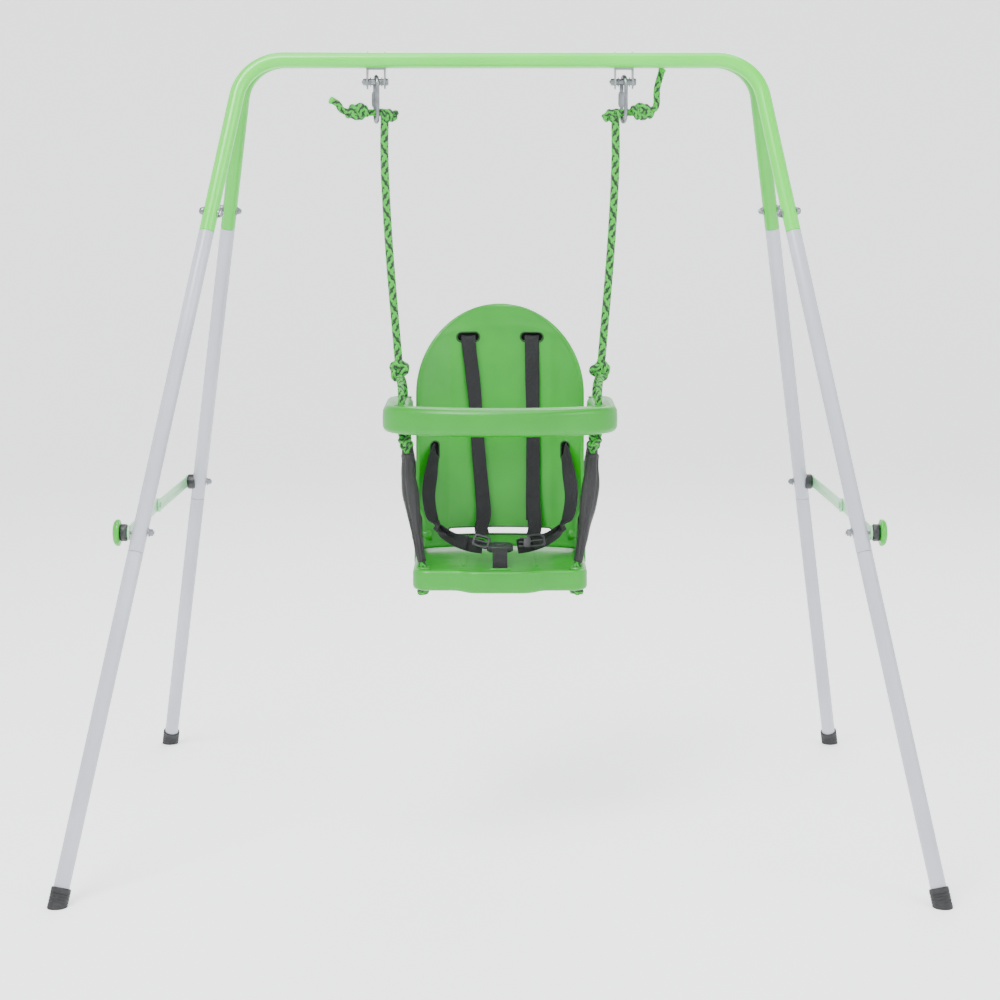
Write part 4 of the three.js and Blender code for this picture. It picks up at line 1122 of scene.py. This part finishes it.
shoulders = {"left": [56, 55, 45, 38, 30], "right": [56, 56, 57, 58, 58]}
for hand, side in leftRight.items():
    a, b, c, d, e = [side * x for x in shoulders[hand]]
    points = run([onBack(a, 839, -7.4), onBack(a, 839, 2.2), onBack(b, 826, 5), onBack(c, 740, 8),
        onBack(d, 640, 10), onBack(e, 545, 13), onBack(e, 520, 17)], 90)

    def harnessWidth(share):
        return web["width"] - 1.8 * exp(-((share - 0.5) / 0.2) ** 2) + 0.25 * sin(31 * share)

    strap = ribbon(Shape(), points, lambda s: (1, 0.05 * sin(9 * s + side), 0.03 * side * sin(5 * s)),
        harnessWidth, 0.7)
    tongue = run([onBack(e, 560, 15), onBack(e + 2, 528, 19), onBack(e + 3 * side, 506, 22),
        onBack(e, 494, 25)], 30)
    ribbon(strap, tongue, (1, 0, 0.1 * side), 24, 0.3, web["doubled"])
    for share in (0.92, 0.95):
        p = points[int(share * 90)]
        tube(strap, [p + at(x, -1.6 - 0.12 * (x % 2), 0) for x in range(-11, 12, 1)], 0.35 * mm, 6, 1)
    strap.piece("shoulder_web_" + hand, ["webbing", "sleeveCloth"], "swing", "webbing",
        "shoulder_strap_" + hand, 60)

    x = side * 114
    belt = run([onBack(x, 641, -6.4), onBack(x, 641, 3), onBack(side * 119, 612, 16),
        seatAt(side * 124, 38, 565), seatAt(side * 113, 20, 522), seatAt(side * 84, -6, 501),
        seatAt(side * 50, -34, 494), seatAt(side * 30, -48, 493)], 90)

    turns = [(0, (0.15, 0.1, 1)), (0.1, (0.3, 0, 1)), (0.26, (1, -0.25, 0.35)), (0.45, (1, -0.35, 0.5)),
        (0.66, (0.35, 0.1, 1)), (1.01, (0.1, 0.35, 1))]

    def lapAcross(s):
        for (s0, a0), (s1, a1) in zip(turns, turns[1:]):
            if s <= s1:
                t = (s - s0) / (s1 - s0)
                x, y, z = Vector(a0).lerp(Vector(a1), t * t * (3 - 2 * t))
                return Vector((side * x, y, z))

    lap = ribbon(Shape(), belt, lapAcross, lambda s: web["width"] + 0.3 * sin(23 * s), -0.5)
    doubled = [p + at(-side * 0.4, -2.4, 1.5) for p in belt[52:80]]
    ribbon(lap, doubled, lapAcross, 24, -0.4, web["doubled"])
    lap.piece("lap_web_" + hand, ["webbing"], "swing", "webbing", "lap_belt_" + hand, 60)

behind = Shape()
across = [onBack(-78 + 156 * k / 40, 838, -back["thick"] - 6.6 + 1.6 * cos(k * 0.63)) for k in range(41)]
ribbon(behind, across, (0, 0.1, 1), lambda s: 27 + 0.4 * sin(17 * s), 0.4)
for side in (-1, 1):
    keep = [onBack(side * (99 + 30 * k / 12), 641, -back["thick"] - 6.2 + 0.9 * sin(k * 0.5))
        for k in range(13)]
    ribbon(behind, keep, (0, 0.1, 1), 38, 0.3)
    ribbon(behind, [p + at(0, 2.7, -0.4) for p in keep[2:11]], (0, 0.1, 1), web["width"], 0.3)
behind.piece("rear_web", ["webbing"], "swing", "webbing", crease=60)

crotchRun = run([seatAt(0, -116, 439), seatAt(0, -116, 473), seatAt(0, -104, 485), seatAt(0, -88, 491),
    seatAt(0, -76, 494), seatAt(0, -64, 494)], 50)
crotchWeb = ribbon(Shape(), crotchRun, (1, 0, 0.02), web["width"], 0.4)
crotchWeb.piece("crotch_web", ["webbing"], "swing", "webbing", "crotch_strap", 60)

# centre buckle: a pillow body with a round button, slots at its sides and the left tongue in it
buckle = {"x": 0, "y": -56, "z": 487.5, "halfX": 22, "halfY": 18, "tall": 11}
place = facing(seatAt(buckle["x"], buckle["y"], buckle["z"]), (0, -0.12, 1), (1, 0, 0))
body = stacked(Shape(), oval(buckle["halfX"], buckle["halfY"], 3, 64),
    rounded(0, buckle["tall"], 3.4, 6) + [(6, 11.2), (9, 11.1), (9.6, 10.4), (10.2, 10.4)], place)
button = place.copy()
button.translation = place @ at(0, 0, buckle["tall"] - 1)
stacked(body, oval(8.6, 6.6, 2.4, 48), [(0, 0), (0, 1.2), (0.5, 1.9), (1.6, 2.3), (4, 2.5), (6, 2.3)],
    button)
for side in (-1, 1):
    mouth = facing(place @ at(side * 21.2, 0, 5.4), place.col[0].to_3d() * side, place.col[2].to_3d())
    stacked(body, oval(3.4, 9, 6, 40), [(-0.8, -1), (-0.8, 0.4), (0, 1), (0.8, 0.6), (1, -1)], mouth)
stacked(body, oval(9, 8.5, 5, 48), rounded(0, 4.4, 1.4, 4),
    facing(seatAt(-26, -54, 493), (0.1, -0.2, 1), (1, 0, 0)))
frameLock(body, facing(seatAt(-32, -54, 502), (0, -0.86, 0.5), (cos(0.35), 0, -sin(0.35))), 30, 23, 4, 1)
frameLock(body, facing(seatAt(61, -40, 501), (0.1, -0.86, 0.5), (1, 0.1, 0.1)), 31, 24, 4, 1)
tongueAt = facing(seatAt(46, -52, 500), (0, -0.86, 0.5), (-1, 0, 0.05))
stacked(body, oval(6, 9.5, 5, 48), rounded(-1, 3.2, 1.1, 3), tongueAt)
for y in (-6.6, 0, 6.6):
    prong = [tongueAt @ at(x, y + (0.9 * (1 if y > 0 else -1 if y < 0 else 0)) * sin((x - 4) / 4), 1.2)
        for x in (4, 6, 8, 10, 12, 13.5)]
    tube(body, prong, lambda k, a, s: (1.7 + 0.5 * sin(s * 3.1)) * mm, 12)
body.piece("centre_buckle", ["blackPlastic"], "swing", "black_plastic", "buckle", 45)
print("harness ready")

# a pale floor that rises like a bowl, and the light
bowl = {"flat": 4.6, "reach": 9.5, "high": 9, "sides": 96, "rings": 40, "glow": 0.72}
verts = [(0, 0, 0)]
for k in range(1, bowl["rings"] + 1):
    radius = bowl["reach"] * k / bowl["rings"]
    rise = max(0, (radius - bowl["flat"]) / (bowl["reach"] - bowl["flat"]))
    for j in range(bowl["sides"]):
        a = tau * j / bowl["sides"]
        verts.append((radius * cos(a), radius * sin(a), bowl["high"] * rise ** 2))
n = bowl["sides"]
faces = [(0, 1 + j, 1 + (j + 1) % n) for j in range(n)]
for k in range(bowl["rings"] - 1):
    for j in range(n):
        a, b = 1 + k * n + j, 1 + k * n + (j + 1) % n
        faces.append((a, a + n, b + n, b))
floorMesh = bpy.data.meshes.new("floor")
floorMesh.from_pydata(verts, [], faces)
floorMesh.polygons.foreach_set("use_smooth", [True] * len(faces))
pale = Shader("floor_paint", (247, 248, 249), 0.75).set(Emission_Color=(1, 1, 1, 1),
    Emission_Strength=bowl["glow"])
pale.bump(pale.noise(3, 2), 0.0005, 0.1)
floorMesh.materials.append(pale.material)
floor = bpy.data.objects.new("floor", floorMesh)
bpy.context.scene.collection.objects.link(floor)


# each softbox: where it stands, what it faces, its size in metres and its watts
lamps = {"key_light": ((-1.2, -2.0, 3.8), (0, 0, 0.7), (1.6, 1.3), 150),
         "fill_light": ((2.9, -2.4, 2.6), (0, 0, 0.7), (1.8, 1.6), 52),
         "back_light": ((0.6, 3.0, 3.2), (0, 0, 0.9), (2.4, 1.4), 70),
         "top_light": ((0, -0.2, 3.9), (0, 0, 0), (2.6, 2.6), 95)}
for name, (place, aim, size, power) in lamps.items():
    data = bpy.data.lights.new(name, "AREA")
    data.shape = "RECTANGLE"
    data.size, data.size_y = size
    data.energy = power
    lamp = bpy.data.objects.new(name, data)
    lamp.location = place
    lamp.rotation_euler = (Vector(aim) - Vector(place)).to_track_quat("-Z", "Y").to_euler()
    bpy.context.scene.collection.objects.link(lamp)
sky = bpy.data.worlds.new("sky")
sky.use_nodes = True
light = sky.node_tree.nodes["Background"]
light.inputs["Color"].default_value = (1, 1, 1, 1)
light.inputs["Strength"].default_value = 0.35
bpy.context.scene.world = sky
